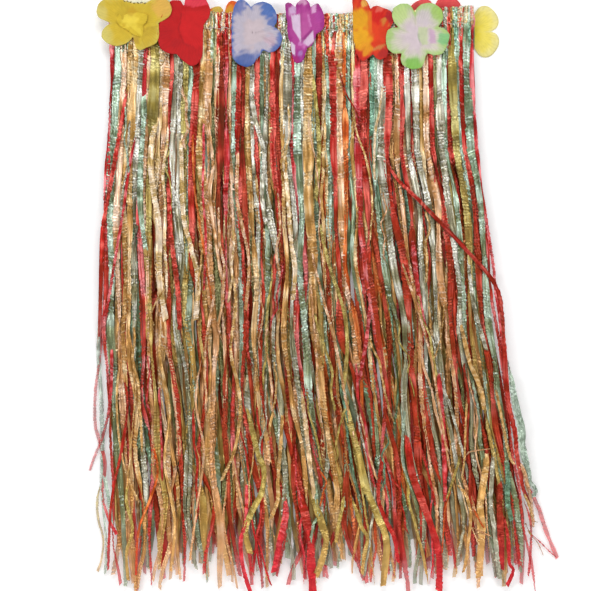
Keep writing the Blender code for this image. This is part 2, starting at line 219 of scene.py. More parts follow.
def filmMaterial(name, finish):
    # crushed shiny film: the dye, with its painted glints and painted shade, is painted along each strip,
    # fine creases come from the bump
    material, tree, shader = newMaterial(name, {
        "Metallic": finish["metallic"], "Roughness": finish["roughness"], "Coat Weight": finish["coat"],
        "Coat Roughness": 0.12, "Specular IOR Level": finish["shine"]})
    where = addNode(tree, "TexCoord")
    tone = paintUneven(tree, shader, where, filmWear)
    creases = addNode(tree, "Mapping", {"Scale": (260.0, 620.0, 260.0), "Rotation": (0.0, 0.0, 0.35)})
    fine = addNode(tree, "TexNoise", {"Scale": 1.0, "Detail": 2.0})
    bump = addNode(tree, "Bump", {"Strength": finish["creased"], "Distance": 0.0006})
    link(tree, (where, "Object", creases, "Vector"), (creases, "Vector", fine, "Vector"),
         (fine, "Fac", bump, "Height"), (bump, "Normal", shader, "Normal"))
    if finish["sheer"]:
        link(tree, (tone, "Alpha", shader, "Alpha"))
    return material


def petalMaterial(name, cloth):
    # thin dyed cloth: painted petals with a fine plain weave and a little sheen
    material, tree, shader = newMaterial(name, {
        "Roughness": cloth["roughness"], "Sheen Weight": cloth["sheen"], "Specular IOR Level": 0.25})
    where = addNode(tree, "TexCoord")
    paintUneven(tree, shader, where, clothWear)
    weave = addNode(tree, "Math", operation="MAXIMUM")
    bump = addNode(tree, "Bump", {"Strength": 0.25, "Distance": 0.0001})
    for number, direction in enumerate("XY"):
        threads = addNode(tree, "TexWave", {"Scale": cloth["threads"]}, bands_direction=direction)
        link(tree, (where, "Object", threads, "Vector"), (threads, "Fac", weave, number))
    link(tree, (weave, "Value", bump, "Height"), (bump, "Normal", shader, "Normal"))
    return material


# Film colours: the dye, the paler tint where it catches the light, and the deep tone of its shaded side.
films = {
    "red": {"dye": (176, 24, 24), "pale": (242, 128, 114), "deep": (134, 34, 16), "family": "red"},
    "rose": {"dye": (200, 44, 54), "pale": (252, 168, 170), "deep": (152, 32, 28), "family": "red"},
    "wine": {"dye": (146, 34, 22), "pale": (216, 98, 76), "deep": (104, 40, 18), "family": "red"},
    "orange": {"dye": (208, 94, 34), "pale": (248, 176, 112), "deep": (160, 66, 22), "family": "red"},
    "gold": {"dye": (206, 158, 88), "pale": (253, 232, 188), "deep": (148, 108, 42), "family": "gold"},
    "tan": {"dye": (218, 166, 118), "pale": (253, 228, 206), "deep": (164, 112, 56), "family": "gold"},
    "cream": {"dye": (232, 200, 156), "pale": (255, 244, 226), "deep": (178, 146, 82), "family": "gold"},
    "olive": {"dye": (172, 150, 68), "pale": (226, 214, 142), "deep": (120, 104, 42), "family": "gold"},
    "bronze": {"dye": (154, 102, 50), "pale": (214, 168, 108), "deep": (106, 72, 34), "family": "gold"},
    "mint": {"dye": (146, 172, 138), "pale": (226, 248, 234), "deep": (92, 104, 72), "family": "mint"},
    "silver": {"dye": (182, 176, 150), "pale": (255, 254, 246), "deep": (108, 100, 74), "family": "mint"},
    "teal": {"dye": (84, 130, 100), "pale": (164, 212, 186), "deep": (64, 82, 54), "family": "mint"},
    "moss": {"dye": (108, 106, 60), "pale": (186, 182, 128), "deep": (78, 74, 38), "family": "mint"},
    "mist": {"dye": (176, 198, 180), "pale": (226, 240, 230), "deep": (140, 162, 144), "family": "mint"},
}
# For each family of films: its gloss, and how strongly its creases glint. Low on the skirt sheer layers lend
# each other a tone, of which a part is taken. At the hem the ends are lit from below.
filmFinish = {
    "red": {"metallic": 0.65, "roughness": 0.42, "coat": 0.0, "shine": 0.2, "creased": 0.5, "sheer": True,
            "glint": 0.65, "lent": (166, 74, 32), "taken": 0.9, "lit": (230, 58, 72)},
    "gold": {"metallic": 0.50, "roughness": 0.36, "coat": 0.08, "shine": 0.4, "creased": 0.5, "sheer": True,
             "glint": 0.80, "lent": (184, 120, 56), "taken": 0.9, "lit": (232, 170, 108)},
    "mint": {"metallic": 0.50, "roughness": 0.32, "coat": 0.15, "shine": 0.5, "creased": 0.6, "sheer": True,
             "glint": 1.0, "lent": (104, 98, 44), "taken": 1.4, "lit": (166, 166, 146)},
}
filmLooks = {family: filmMaterial(family + "Film", finish) for family, finish in filmFinish.items()}
print("film materials made")


def crushLines(lane):
    # crosswise creases: the rows of a crushed stretch lie by turns higher and lower, -1 to 1
    rng = lane["rng"]
    strips, rows = lane["row"].shape
    turn = np.where(np.arange(rows) % 2, 1.0, -1.0)[None, :, None]
    strength = rng.uniform(-0.4, 1.4, (strips, rows, 1))
    strength = strength * rng.uniform(-0.1, 1.0, (strips, rows, lane["across"]))
    return turn * strength * lane["crush"][..., None]


def stripSurface(lane):
    # points of crushed strips about their centre lines, (strips, rows, across, 3)
    line = place(lane["column"], lane["row"], lane["height"])
    along = np.gradient(line, axis=1)
    along /= np.linalg.norm(along, axis=-1, keepdims=True)
    side = np.cross([0.0, 0.0, 1.0], along)
    side /= np.linalg.norm(side, axis=-1, keepdims=True)
    up = np.cross(along, side)
    roll = lane["roll"][..., None]
    turnedSide = side * np.cos(roll) + up * np.sin(roll)
    turnedUp = up * np.cos(roll) - side * np.sin(roll)
    strips, rows = lane["row"].shape
    across = lane["across"]
    u = np.linspace(-1, 1, across)
    rng = lane["rng"]
    half = lane["width"][..., None] / 2 * mm
    lift = lane["curl"][..., None] * (u * u - 0.35) * half
    ridges = smoothLines(rng, strips * across, lane["ridgeKnots"], rows).reshape(strips, across, rows)
    lift = lift + ridges.transpose(0, 2, 1) * lane["ridge"][..., None] * mm
    lift = lift + lane["creases"] * lane["crinkle"] * mm
    lift = lift + lane["gather"][..., None] * lane["pleats"] * mm
    skew = smoothLines(rng, strips, 16, rows)[..., None] * u * 1.5 * mm
    points = (line[:, :, None] + turnedSide[:, :, None] * (u * half)[..., None]
              + turnedUp[:, :, None] * lift[..., None] + along[:, :, None] * skew[..., None])
    points[..., 2] = np.maximum(points[..., 2], lane["floor"] * mm)
    return points


# What changes down the skirt: from one row to another, and by how much.
toneRows = {
    "glint": (220, 420, -0.22), "streaks": (220, 420, -0.4), "highlightAndShade": (250, 480, -0.55),
    "upperShade": (180, 330, -0.06), "lowerShade": (400, 540, 0.28),
}
warmRows = (100, 340)   # the lent tone comes in
looseRows = (505, 580)  # single ends let the light through


def changing(name, row):
    # 1 above the first row, and 1 with the whole change below the second
    high, low, change = toneRows[name]
    return 1 + change * ease(high, low, row)


def filmValues(lane, read):
    # one value or colour for each strip of a lane, read from its family's finish
    return np.array([read(filmFinish[films[name]["family"]]) for name in lane["film"]])[:, None, None]


# How a strip's tones are mixed: pale and deep stretches of painted highlight and shade, its ends, and its
# light and shade.
toning = {
    "streakKnots": 26, "highlightAndShadeKnots": 40, "highlightAndShade": 1.35, "gloom": 0.15, "palest": 0.8, "raised": 1.2,
    "creaseShade": 0.9, "spared": 0.6, "loose": 0.8, "lit": 0.6, "uneven": (0.96, 1.05), "edge": 0.08,
    "darker": 0.94, "gathered": 0.62, "pleats": 0.80, "crumpleLightAndShade": 0.34,
}


def stripTones(lane, points):
    # dye along each strip with painted glints and painted shade on its creases, pale and deep stretches of
    # painted highlight and shade along it, and how sheer it is
    rng = lane["rng"]
    row = lane["row"]
    strips, rows, across = points.shape[:3]
    named = {part: np.array([dye(*films[name][part]) for name in lane["film"]])[:, None, None]
             for part in ("dye", "pale", "deep")}
    glint = filmValues(lane, lambda finish: finish["glint"]) * changing("glint", row)[..., None]
    # painted highlight and painted shade: pale and deep streaks along each strip's lengthwise folds, and
    # longer stretches
    streaks = smoothLines(rng, strips * across, toning["streakKnots"], rows)
    streaks = streaks.reshape(strips, across, rows).transpose(0, 2, 1) * changing("streaks", row)[..., None]
    highlightAndShade = toning["highlightAndShade"] * smoothLines(rng, strips, toning["highlightAndShadeKnots"], rows)[..., None]
    highlightAndShade = (highlightAndShade + streaks - toning["gloom"]) * changing("highlightAndShade", row)[..., None]
    # painted highlight: the pale tint on the raised side of each crease; painted shade: the deep tone on its
    # sunken side
    raised = np.clip(lane["creases"], 0, 1)
    creaseShade = np.clip(-lane["creases"], 0, 1)
    pale = np.clip(highlightAndShade, 0, toning["palest"]) * lane["paleness"] + toning["raised"] * glint * raised
    pale = np.clip(pale, 0, 1)[..., None]
    deep = np.clip(np.clip(-highlightAndShade, 0, 1.0) + toning["creaseShade"] * creaseShade, 0, 1)[..., None] * (1 - pale)
    colour = named["dye"] * (1 - pale - deep) + named["pale"] * pale + named["deep"] * deep
    lent = filmValues(lane, lambda finish: dye(*finish["lent"]))
    taken = filmValues(lane, lambda finish: finish["taken"])[..., None]
    warm = (lane["warm"] * ease(*warmRows, row))[..., None, None] * (1 - toning["spared"] * pale) * taken
    colour = colour * (1 - warm) + lent * warm
    loose = toning["loose"] * ease(*looseRows, row)[..., None, None]
    lit = filmValues(lane, lambda finish: dye(*finish["lit"]))
    ends = (1 - toning["lit"]) * named["dye"] + toning["lit"] * lit
    colour = colour * (1 - loose) + ends * loose
    # painted shade: each strip a little darker towards its rims, and by its layer's shade value, lower for
    # the layers under others
    edge = np.abs(np.linspace(-1, 1, across)) ** 3
    shade = rng.uniform(*toning["uneven"], (strips, 1, 1)) * lane["shade"] * (1 - toning["edge"] * edge)
    shade = shade * (changing("upperShade", row) + changing("lowerShade", row) - toning["darker"])[..., None]
    # gathered strips are painted lighter on their ribs, with painted shade in their pleats' valleys and
    # random painted light and shade on their crumples
    gathered = np.clip(lane["gather"] * 2, 0, 1)[..., None]
    crumpleLightAndShade = toning["crumpleLightAndShade"] * rng.uniform(-1, 1, (strips, rows, across))
    pleats = toning["gathered"] - toning["pleats"] * np.clip(-lane["pleats"], 0, 1)
    shade = shade * (1 + gathered * (pleats + crumpleLightAndShade))
    tones = np.ones((strips, rows, across, 4))
    tones[..., :3] = colour * shade[..., None]
    tones[..., 3] = lane["solidness"][..., None]
    return np.clip(tones, 0, 1)


def stripMapping(strips, rows, across):
    # each strip is one upright lane of the texture
    s = (np.arange(strips)[:, None, None] + 0.08 + 0.84 * np.linspace(0, 1, across)) / strips
    v = np.linspace(0.004, 0.996, rows)[None, :, None]
    return np.stack(np.broadcast_arrays(s, v), axis=-1).reshape(-1, 2)


def stripPieces(name, lane, nodeName):
    # one joined piece for each film family of a layer
    lane["creases"] = crushLines(lane)
    points = stripSurface(lane)
    tones = stripTones(lane, points)
    families = np.array([films[film]["family"] for film in lane["film"]])
    pieces = []
    for family in filmLooks:
        chosen = families == family
        if not chosen.any():
            continue
        some = points[chosen]
        strips, rows, across = some.shape[:3]
        piece = meshPiece(name + family.capitalize(), some.reshape(-1, 3), gridFaces(strips, rows, across),
                          tones[chosen].reshape(-1, 4), filmLooks[family], False,
                          stripMapping(strips, rows, across))
        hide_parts(nodeName)
        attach(piece, "root")
        pieces.append(piece)
    return pieces


# How the strips hang side by side. Each wave has its share, its length down and across, and how often it
# takes the layer's phase. Each clump at the hem has its share, its width and where it starts.
hanging = {
    "waves": ((0.6, 88, 33, 1), (0.4, 41, 24, 2)), "swayRows": (60, 210),
    "clumps": ((0.55, 2.9, 0.0), (0.45, 5.3, 1.0), (0.25, 23, 2.0)), "lastRow": 598.0,
}


def laneColumns(share, row, spec, rng):
    # columns of strips that keep to their lanes, swaying together and wandering a little by themselves
    strips, rows = row.shape
    left = readEdge(skirt["leftEdge"], row) + spec["inset"]
    right = readEdge(skirt["rightEdge"], row) - spec["inset"]
    lane = left + share * (right - left)
    grown = ease(*hanging["swayRows"], row)
    sway = spec["sway"] * (0.35 + 2.6 * share * (1 - share)) * grown
    column = lane + sway * sum(part * np.sin(row / down + lane / across + turns * spec["phase"])
                               for part, down, across, turns in hanging["waves"])
    loose = spec["wander"] * (0.25 * grown + 0.35 * ease(120, 330, row) + 0.45 * ease(330, 590, row))
    loose = loose * np.clip(8 * share * (1 - share), 0.35, 1)
    column = column + smoothLines(rng, strips, spec["bends"], rows) * loose
    kinks = spec["kink"] * (0.5 * grown + 0.5 * ease(260, 560, row))
    column = column + smoothLines(rng, strips, 17, rows, sharp=True) * kinks
    flare = rng.uniform(-1, 1, (strips, 1)) * spec["flare"]
    return column + flare * ease(505, 600, row) ** 1.5


def hemRows(share, spec, rng):
    # row where each strip ends: they hang in clumps, with gaps between that are the same in every layer
    column = skirt["leftEdge"][-1][1] + share * (skirt["rightEdge"][-1][1] - skirt["leftEdge"][-1][1])
    clump = sum(part * np.sin(column / wide + start) for part, wide, start in hanging["clumps"])
    middle, clumping, ragged = spec["hem"]
    end = middle + clumping * clump + ragged * rng.uniform(-1, 1, share.shape)
    return np.minimum(end, hanging["lastRow"])


def pickFilms(rng, count, mix):
    names = list(mix)
    chances = np.array([mix[name] for name in names], float)
    return [str(name) for name in rng.choice(names, count, p=chances / chances.sum())]


# How strips are rolled, turned over and crushed: the rows between which it changes, and by how much.
crumpling = {
    "lowRows": (90, 520), "turnRows": (170, 520), "turnLength": 44, "crushed": 0.84, "calmer": 0.24,
    "calmRows": (300, 540), "sideways": 0.4, "narrower": 0.22, "sheerRows": (480, 580),
}
# what a lane takes over from its layer's dictionary as it is
takenOver = ("across", "floor", "ridgeKnots", "crinkle", "paleness", "warm", "shade")


def newLane(spec, rng, row, column, height, width, film):
    # the strips of one layer, each with its roll, curl, ridges and crushed stretches
    strips, rows = row.shape
    low = ease(*crumpling["lowRows"], row)
    roll = smoothLines(rng, strips, 12, rows) * (spec["roll"][0] + spec["roll"][1] * low)
    turned = rng.uniform(0, 1, (strips, 1)) < spec["turning"]
    turnRow = rng.uniform(*crumpling["turnRows"], (strips, 1))
    halfTurn = crumpling["turnLength"] / 2
    roll = roll + turned * math.pi * ease(turnRow - halfTurn, turnRow + halfTurn, row)
    curl = rng.choice([-1.0, 1.0], (strips, 1)) * (spec["curl"][0] + spec["curl"][1] * low)
    curl = curl * (1 + 0.4 * smoothLines(rng, strips, 8, rows))
    crushed = crumpling["crushed"] - crumpling["calmer"] * ease(*crumpling["calmRows"], row)
    crush = np.clip(smoothLines(rng, strips, spec["patches"], rows) * 2.0 + crushed, 0.1, 1)
    column = column + crumpling["sideways"] * rng.uniform(-1, 1, row.shape) * crush
    width = width * (1 - crumpling["narrower"] * rng.uniform(0, 1, row.shape) * crush)
    return {"rng": rng, "row": row, "column": column, "height": height, "width": width, "film": film,
            "roll": roll, "curl": curl, "crush": crush, "ridge": np.full(row.shape, spec["ridge"]),
            "solidness": 1 - spec["sheer"] * ease(*crumpling["sheerRows"], row),
            "gather": np.zeros(row.shape), "pleats": np.zeros((1, 1, spec["across"])),
            **{name: spec[name] for name in takenOver}}


# Upper strips: they start over the band's top edge, are pinched by the sewn line, and hang over the rest.
# The order runs from left to right, each with its width in columns at the top. In this and the next layers
# the inset, sway, wander, kink and flare are in columns, the levels, ridge and crinkle in millimetres. The
# roll and the curl each have a value for the top and what is added low down.
upperStrips = {
    "order": "rose:4 mint:6 tan:6 gold:5 gold:6 silver:5 rose:4 tan:4 olive:7 cream:5 tan:6 red:4 "
             "silver:4 silver:4 olive:6 mint:5 red:5 gold:6 tan:6 moss:4 tan:3 wine:5 rose:4 tan:4 "
             "mint:4 red:5 wine:4 gold:4 silver:5 red:4 mint:5 silver:5 red:6 wine:4 gold:5 silver:5 "
             "rose:4 mint:6 silver:4 gold:7 mint:4 wine:5 gold:3 mint:5 red:6 tan:6 orange:4 mint:5 "
             "gold:3 rose:5 red:6 wine:4 teal:4 mint:4 silver:6 red:6 bronze:4 tan:4 red:5 silver:5 "
             "red:3 silver:5 gold:5 tan:5 red:5 moss:3 silver:5 mint:4 red:4 olive:5 mint:4 red:5 "
             "mint:6 rose:3",
    "rowsAlong": 400, "across": 6, "seed": 5, "inset": 2.5,
    "sway": 4.6, "phase": 4.4, "wander": 8.0, "bends": 10, "kink": 2.6, "flare": 7.0,
    "hem": (575, 13, 14), "levels": (10.2, 13.0), "overlap": 1.34,
    "roll": (0.20, 0.34), "turning": 0.3, "curl": (0.06, 0.14), "ridge": 0.5, "crinkle": 0.7,
    "patches": 34, "sheer": 0.22, "paleness": 0.8, "gather": 0.7, "warm": 0.44, "shade": 0.97,
    "floor": 0.3, "ridgeKnots": 26, "ragged": (-1.8, 1.2), "edgeHeight": 6.0, "overEdge": 4.1, "pinch": 0.35,
    "inOrder": (40, 95), "drawn": 2.1, "drawnWave": 3.1, "topShift": 1.2, "pleated": 4.4,
    # how they narrow and sink towards the hem: from one row to another, and by what share
    "taper": ((80, 220, 0.10), (220, 420, 0.14), (500, 592, 0.20)), "sink": ((520, 598, 0.55),),
}


def makeUpperStrips(spec):
    rng = np.random.default_rng(spec["seed"])
    entries = [entry.split(":") for entry in spec["order"].split()]
    widths = np.array([float(entry[1]) for entry in entries])
    share = ((np.cumsum(widths) - widths / 2) / widths.sum())[:, None]
    strips = len(entries)
    rows = spec["rowsAlong"]
    bandWide = skirt["bandRight"] - skirt["bandLeft"]
    stitch = skirt["stitchDepth"] / mm
    rootColumn = acrossBand(share)
    top = bandRow(rootColumn, 0) + rng.uniform(*spec["ragged"], (strips, 1))
    end = hemRows(share, spec, rng)
    row = top + np.linspace(0, 1, rows)[None, :] * (end - top)
    depth = (row - bandRow(rootColumn, 0)) * gridStep / mm
    # they keep their order under the band, then sway, and the sewn line draws them together
    column = laneColumns(share, row, spec, rng)
    column = column + (rootColumn - column) * (1 - ease(*spec["inOrder"], row))
    column = column + spec["drawn"] * bell(depth, stitch, 4.5) * np.sin(rootColumn / spec["drawnWave"])
    topShift = rng.uniform(-spec["topShift"], spec["topShift"], (strips, 1))
    column = column + (1 - ease(0, 14, depth)) * topShift
    level = rng.permutation(np.linspace(*spec["levels"], strips))[:, None]
    overBand = spec["edgeHeight"] + spec["overEdge"] * ease(-2.0, 1.6, depth)
    overBand = overBand - spec["pinch"] * bell(depth, stitch, 1.8)
    low = level * tapering(spec["sink"], row)
    height = overBand + (low - overBand) * ease(34, 86, depth)
    # narrow where they are sewn and towards the hem, with pinched places between
    narrow = 1 - 0.40 * bell(depth, stitch, 2.6) - 0.18 * (1 - ease(24, 44, depth))
    pinched = ease(0.35, 0.9, smoothLines(rng, strips, 14, rows)) * ease(36, 70, row)
    uneven = 1 + 0.34 * smoothLines(rng, strips, 17, rows)
    taper = tapering(spec["taper"], row) * uneven * (1 - 0.55 * pinched)
    width = widths[:, None] / widths.sum() * bandWide * gridStep / mm
    width = np.maximum(width, 3.0) * spec["overlap"] * narrow * taper
    lane = newLane(spec, rng, row, column, height, width, [entry[0] for entry in entries])
    inBand = 1 - ease(20, 34, depth)
    lane["roll"] = lane["roll"] * (1 - inBand)
    lane["curl"] = lane["curl"] * (1 - inBand) - 0.12 * inBand
    lane["crush"] = lane["crush"] * (1 - 0.2 * inBand)
    lane["gather"] = spec["gather"] * (1 - ease(14, 70, depth)) * (1 - 0.5 * bell(depth, stitch, 2.0))
    pleats = np.linspace(-1, 1, spec["across"]) * spec["pleated"] + rng.uniform(0, math.tau, (strips, 1))
    lane["pleats"] = np.sin(pleats)[:, None]
    return stripPieces("upperStrips", lane, "fringe_front_top")


def makeHiddenLayer(name, spec, nodeName):
    # strips that come out from under the band's lower edge
    rng = np.random.default_rng(spec["seed"])
    strips = spec["count"]
    rows = spec["rowsAlong"]
    share = evenShares(rng, strips, 0.35)
    rootColumn = acrossBand(share, 1.0)
    top = bandRow(rootColumn, skirt["bandHeight"] - 0.0015)
    end = hemRows(share, spec, rng)
    row = top + np.linspace(0, 1, rows)[None, :] * (end - top)
    column = laneColumns(share, row, spec, rng)
    column = column + (rootColumn - column) * (1 - ease(*spec["inOrder"], row))
    level = rng.permutation(np.linspace(*spec["levels"], strips))[:, None]
    level = level * tapering(spec["sink"], row)
    height = spec["root"] + (level - spec["root"]) * ease(*spec["levelRows"], row)
    width = rng.uniform(*spec["widths"], (strips, 1)) * tapering(spec["taper"], row)
    width = width * (1 + 0.32 * smoothLines(rng, strips, 13, rows))
    film = pickFilms(rng, strips, spec["mix"])
    return stripPieces(name, newLane(spec, rng, row, column, height, width, film), nodeName)


filmMix = {"red": 23, "wine": 8, "rose": 4, "orange": 7, "gold": 18, "tan": 10, "olive": 14, "bronze": 7,
           "mint": 6, "silver": 4, "teal": 4, "moss": 7}
# What the three hidden layers share: how they keep their order, narrow and sink.
hidden = {"inOrder": (40, 100), "taper": ((80, 300, 0.14), (430, 590, 0.26)), "sink": ((500, 590, 0.5),),
          "ridgeKnots": 18, "mix": filmMix}

innerStrips = {
    **hidden,
    "count": 92, "rowsAlong": 300, "across": 4, "seed": 17, "inset": 5.5, "hem": (564, 14, 14),
    "sway": 4.4, "phase": 3.7, "wander": 8.5, "bends": 8, "kink": 2.6, "flare": 8.0, "root": 8.3,
    "levels": (7.8, 10.2), "levelRows": (45, 110), "widths": (4.6, 8.4), "floor": 0.3,
    "roll": (0.2, 0.34), "turning": 0.3, "curl": (0.06, 0.14), "ridge": 0.45, "crinkle": 0.5,
    "patches": 22, "sheer": 0.32, "paleness": 0.5, "warm": 0.44, "shade": 0.94,
}

lowerStrips = {
    **hidden,
    "count": 62, "rowsAlong": 130, "across": 4, "seed": 29, "inset": 8.0, "hem": (552, 15, 12),
    "sway": 4.2, "phase": 2.6, "wander": 7.0, "bends": 7, "kink": 2.2, "flare": 7.0, "root": 5.8,
    "levels": (3.2, 5.6), "levelRows": (45, 110), "widths": (5.5, 9.0), "floor": 0.3,
    "roll": (0.2, 0.3), "turning": 0.2, "curl": (0.06, 0.14), "ridge": 0.4, "crinkle": 0.5,
    "patches": 14, "sheer": 0.50, "paleness": 0.45, "warm": 0.44, "shade": 0.92,
}

backStrips = {
    **hidden,
    "count": 62, "rowsAlong": 130, "across": 3, "seed": 41, "inset": 8.0, "hem": (556, 15, 12),
    "sway": 3.6, "phase": 0.7, "wander": 6.0, "bends": 7, "kink": 2.0, "flare": 7.0, "root": 2.9,
    "levels": (0.5, 1.9), "levelRows": (72, 104), "widths": (6.0, 9.0), "floor": 0.05,
    "roll": (0.05, 0.1), "turning": 0.0, "curl": (0.03, 0.08), "ridge": 0.25, "crinkle": 0.25,
    "patches": 14, "sheer": 0.50, "paleness": 0.45, "warm": 0.42, "shade": 0.94,
}

stripsMade = makeUpperStrips(upperStrips)
print("upper strips made")
stripsMade += makeHiddenLayer("innerStrips", innerStrips, "fringe_front_top")
stripsMade += makeHiddenLayer("lowerStrips", lowerStrips, "fringe_front_under")
stripsMade += makeHiddenLayer("backStrips", backStrips, "fringe_back_lower")
print("inner, lower and back strips made")


# Stray strips: they leave their lanes and lie over the others. Each has its film, its width and lift in
# millimetres, and the places of its route, column:row.
strayStrips = {
    "rowsAlong": 210, "across": 5, "seed": 53, "height": 13.8,
    "roll": (0.15, 0.25), "turning": 0.0, "curl": (0.05, 0.12), "ridge": 0.3, "crinkle": 0.4,
    "patches": 14, "sheer": 0.35, "paleness": 0.6, "warm": 0.15, "shade": 1.0, "floor": 0.3, "ridgeKnots": 20,
    "endDrop": 8.5, "outsideDrop": 11.0, "hemDrop": 6.0, "hemRows": (530, 598),
    # columns past which they lie outside the skirt: on the right, on the left, and on the left lower down
    "rightOutside": (520, 540), "leftOutside": (102, 92), "lowLeftOutside": (112, 100),
    "lowLeftRows": (300, 360),
    # thin ones that slant across their neighbours
    "thin": {"count": 58, "rows": (60, 470), "lengths": (70, 220), "drift": 17.0, "wander": 3.2,
             "widths": (1.5, 3.2), "raised": (0.0, 1.0),
             "mix": {"gold": 18, "tan": 15, "olive": 16, "cream": 9, "rose": 14, "red": 12, "wine": 5,
                     "orange": 6, "silver": 4, "mint": 3, "teal": 1}},
    "strips": (
        # the long red one that runs slantwise to the right edge and down it
        "red 4.8 0.9 388:120 390:168 424:206 462:246 496:288 503:340 507:396 514:431 517:458 523:488 530:505",
        "red 5 0.6 130:60 127:90 118:145 109:196 103:232 101:300 99:350",
        # loose ones that bow out on the left
        "rose 3.6 0.4 106:262 105:300 101:345 95:392 95:425 100:444 105:464 102:495 108:516 117:534",
        "rose 3.4 0.5 112:330 112:372 109:412 101:440 95:455 89:471",
        "mist 4.6 0.2 101:300 98:345 101:400 102:440 103:470 109:500 112:526",
        "mist 3 0.3 104:430 101:470 102:500 106:540 105:574",
        "olive 2.6 0.3 101:480 97:500 98:520 103:540 101:560 97:572",
        "gold 2.4 0.6 121:350 117:400 120:440 126:470 138:500",
        # the kinked end at the lower right
        "rose 4.4 0.2 528:484 532:494 536:502 540:511 545:527 552:545 558:559",
        "rose 1.3 0.2 558:559 549:551 540:542 532:535",
        "bronze 1.1 0.3 526:524 531:535 538:543 544:556",
        # pale film along the right edge, with its small loop
        "mist 7.4 0.1 508:360 514:398 519:422 521:440 525:459 528:476 527:490",
        "mist 5 0.3 511:380 518:412 523:432 522:452 527:470 529:486",
        "mist 4 0.5 527:476 531:483 535:488 536:493 531:497",
        # cords knotted near the lower right
        "tan 2.3 2 434:384 438:402 444:436 449:466 452:476 451:485",
        "gold 3.4 1.6 451:474 457:484 465:494 470:512 469:530 466:558 463:572",
        "orange 1.3 2.2 452:482 450:491 445:507 443:528 442:552",
        "olive 2.4 2.3 460:452 457:466 453:477 449:490 446:498",
        "gold 2.2 1.2 467:390 465:425 464:458 461:480",
        "tan 1.2 2.4 463:459 468:452 476:450 491:448",
        "gold 8.2 1 487:440 485:468 480:504 481:534 479:577",
        "orange 1.4 1.9 472:506 479:520 484:528",
        "tan 1.3 1.9 471:526 480:531 490:535",
        "silver 5.2 1.3 493:440 491:483 490:504 494:529 497:558 500:579",
        "wine 7.6 0.8 500:470 499:500 500:528 501:569",
        "teal 5.4 0.9 505:452 507:475 507:500 511:520",
        "gold 3 1.9 494:380 498:402 506:443 510:458 514:464",
        "tan 4.6 1.3 511:455 521:467 527:485 531:504 533:527",
        "gold 2.6 1.4 538:523 533:520 530:508 524:494",
        "red 2.6 0.6 524:500 530:520 531:540 529:575",
        "red 4 1.2 500:505 507:534 509:562 513:570 507:586",
        "red 7.4 1 404:410 407:437 412:473 424:507 432:529 439:558 439:592",
        "rose 4.8 1.5 434:350 440:392 443:430 444:470 445:500",
        "red 2.6 1.7 419:440 425:463 431:486 435:505",
        # the broad olive and cream ones of the middle
        "cream 5 1.3 300:380 305:420 308:447 311:474 315:500",
        "olive 7.4 1.2 311:482 315:502 322:524 326:540 321:562 316:575",
        "olive 8 1.4 340:380 349:420 358:453 365:485 376:513 386:540 383:586",
        "olive 6.2 1.3 244:395 250:420 258:453 264:469 262:491 251:513 246:530 250:553",
        "gold 4 1.6 283:400 281:440 278:481 278:498 271:518",
        "orange 1.9 2 315:466 321:472 326:481 323:492 320:506",
        "olive 4 1.7 344:492 342:508 338:526 336:542",
        "olive 4.2 1.9 351:494 356:510 361:526 367:537 364:555 362:574",
        "red 9 1.1 296:480 304:510 310:540 311:565 313:596",
        "rose 4.2 1 248:470 247:486 246:518 241:540 243:567 251:594",
        "red 1.9 1.5 255:524 261:549 267:573 271:585",
        "red 4.8 1.6 382:440 381:464 378:496 385:518 394:537 398:562",
        "rose 7 1.4 282:492 286:508 284:524 279:545 274:572",
        # those that cross their neighbours higher up
        "rose 3.2 0.5 140:118 130:166 124:209 116:257 110:294 104:330",
        "mint 6 0.3 143:70 144:117 141:165 141:209 146:250",
        "cream 6.4 0.6 161:92 158:114 151:152 154:193 159:225 160:280 166:320",
        "red 5.4 0.3 168:160 170:219 173:251 178:289 180:330",
        "cream 5.6 0.4 181:110 182:177 184:219 191:246 198:280 196:320",
        "orange 2.4 0.8 193:110 194:177 200:225 206:262 212:300",
        "rose 2.8 0.5 203:100 204:150 203:193 206:240 204:290",
        "tan 3.8 0.9 205:66 207:114 213:162 210:194 215:235 222:280",
        "silver 4.8 0.4 248:76 256:122 264:154 262:194 266:224",
        "tan 3.6 0.8 239:130 237:194 242:225 249:262 246:310",
        "cream 5 0.7 284:150 288:200 291:240 295:270 293:300",
        "olive 4.6 0.5 311:60 316:106 319:150 316:200",
        "olive 4.2 0.7 318:200 322:236 331:271 344:312 347:350 343:390",
        "tan 3 1 309:225 313:258 322:294 336:347 347:406 358:462",
        "tan 2.8 1.2 398:236 402:262 412:293 421:321 430:355 436:388 441:420 448:460",
        "gold 1.5 1.3 444:296 443:316 440:338 433:362",
        "rose 4.8 0.5 411:226 414:256 417:284 420:306 427:338",
        "rose 3.8 0.8 370:296 368:324 365:348 359:380",
        "olive 3 0.9 312:300 318:328 325:348 332:372 331:390 335:410",
        "silver 4 0.6 467:250 470:282 474:308 480:330 486:350",
        "gold 4.4 0.7 458:312 463:336 470:364 480:388 484:410",
        "rose 3.4 0.6 484:206 489:240 493:268 495:290 499:316 502:352",
        "gold 2.2 0.9 352:90 356:130 366:160 372:200 370:240",
        "wine 2 0.9 338:66 345:92 356:112 362:132",
        # looser ends on the left
        "orange 2.8 1.1 150:430 158:470 150:500 139:530 136:575",
        "red 3 1 118:360 128:400 122:450 112:500 108:570",
        "gold 3.2 1.2 166:300 160:352 170:410 165:462 175:520 171:571",
        "tan 2.4 1.3 203:350 196:400 204:450 198:500 190:560",
        "gold 3.6 0.9 228:250 236:300 231:350 240:398 236:444 222:480",
        "olive 3.4 1.1 130:470 127:500 133:528 127:552 128:580",
    ),
}


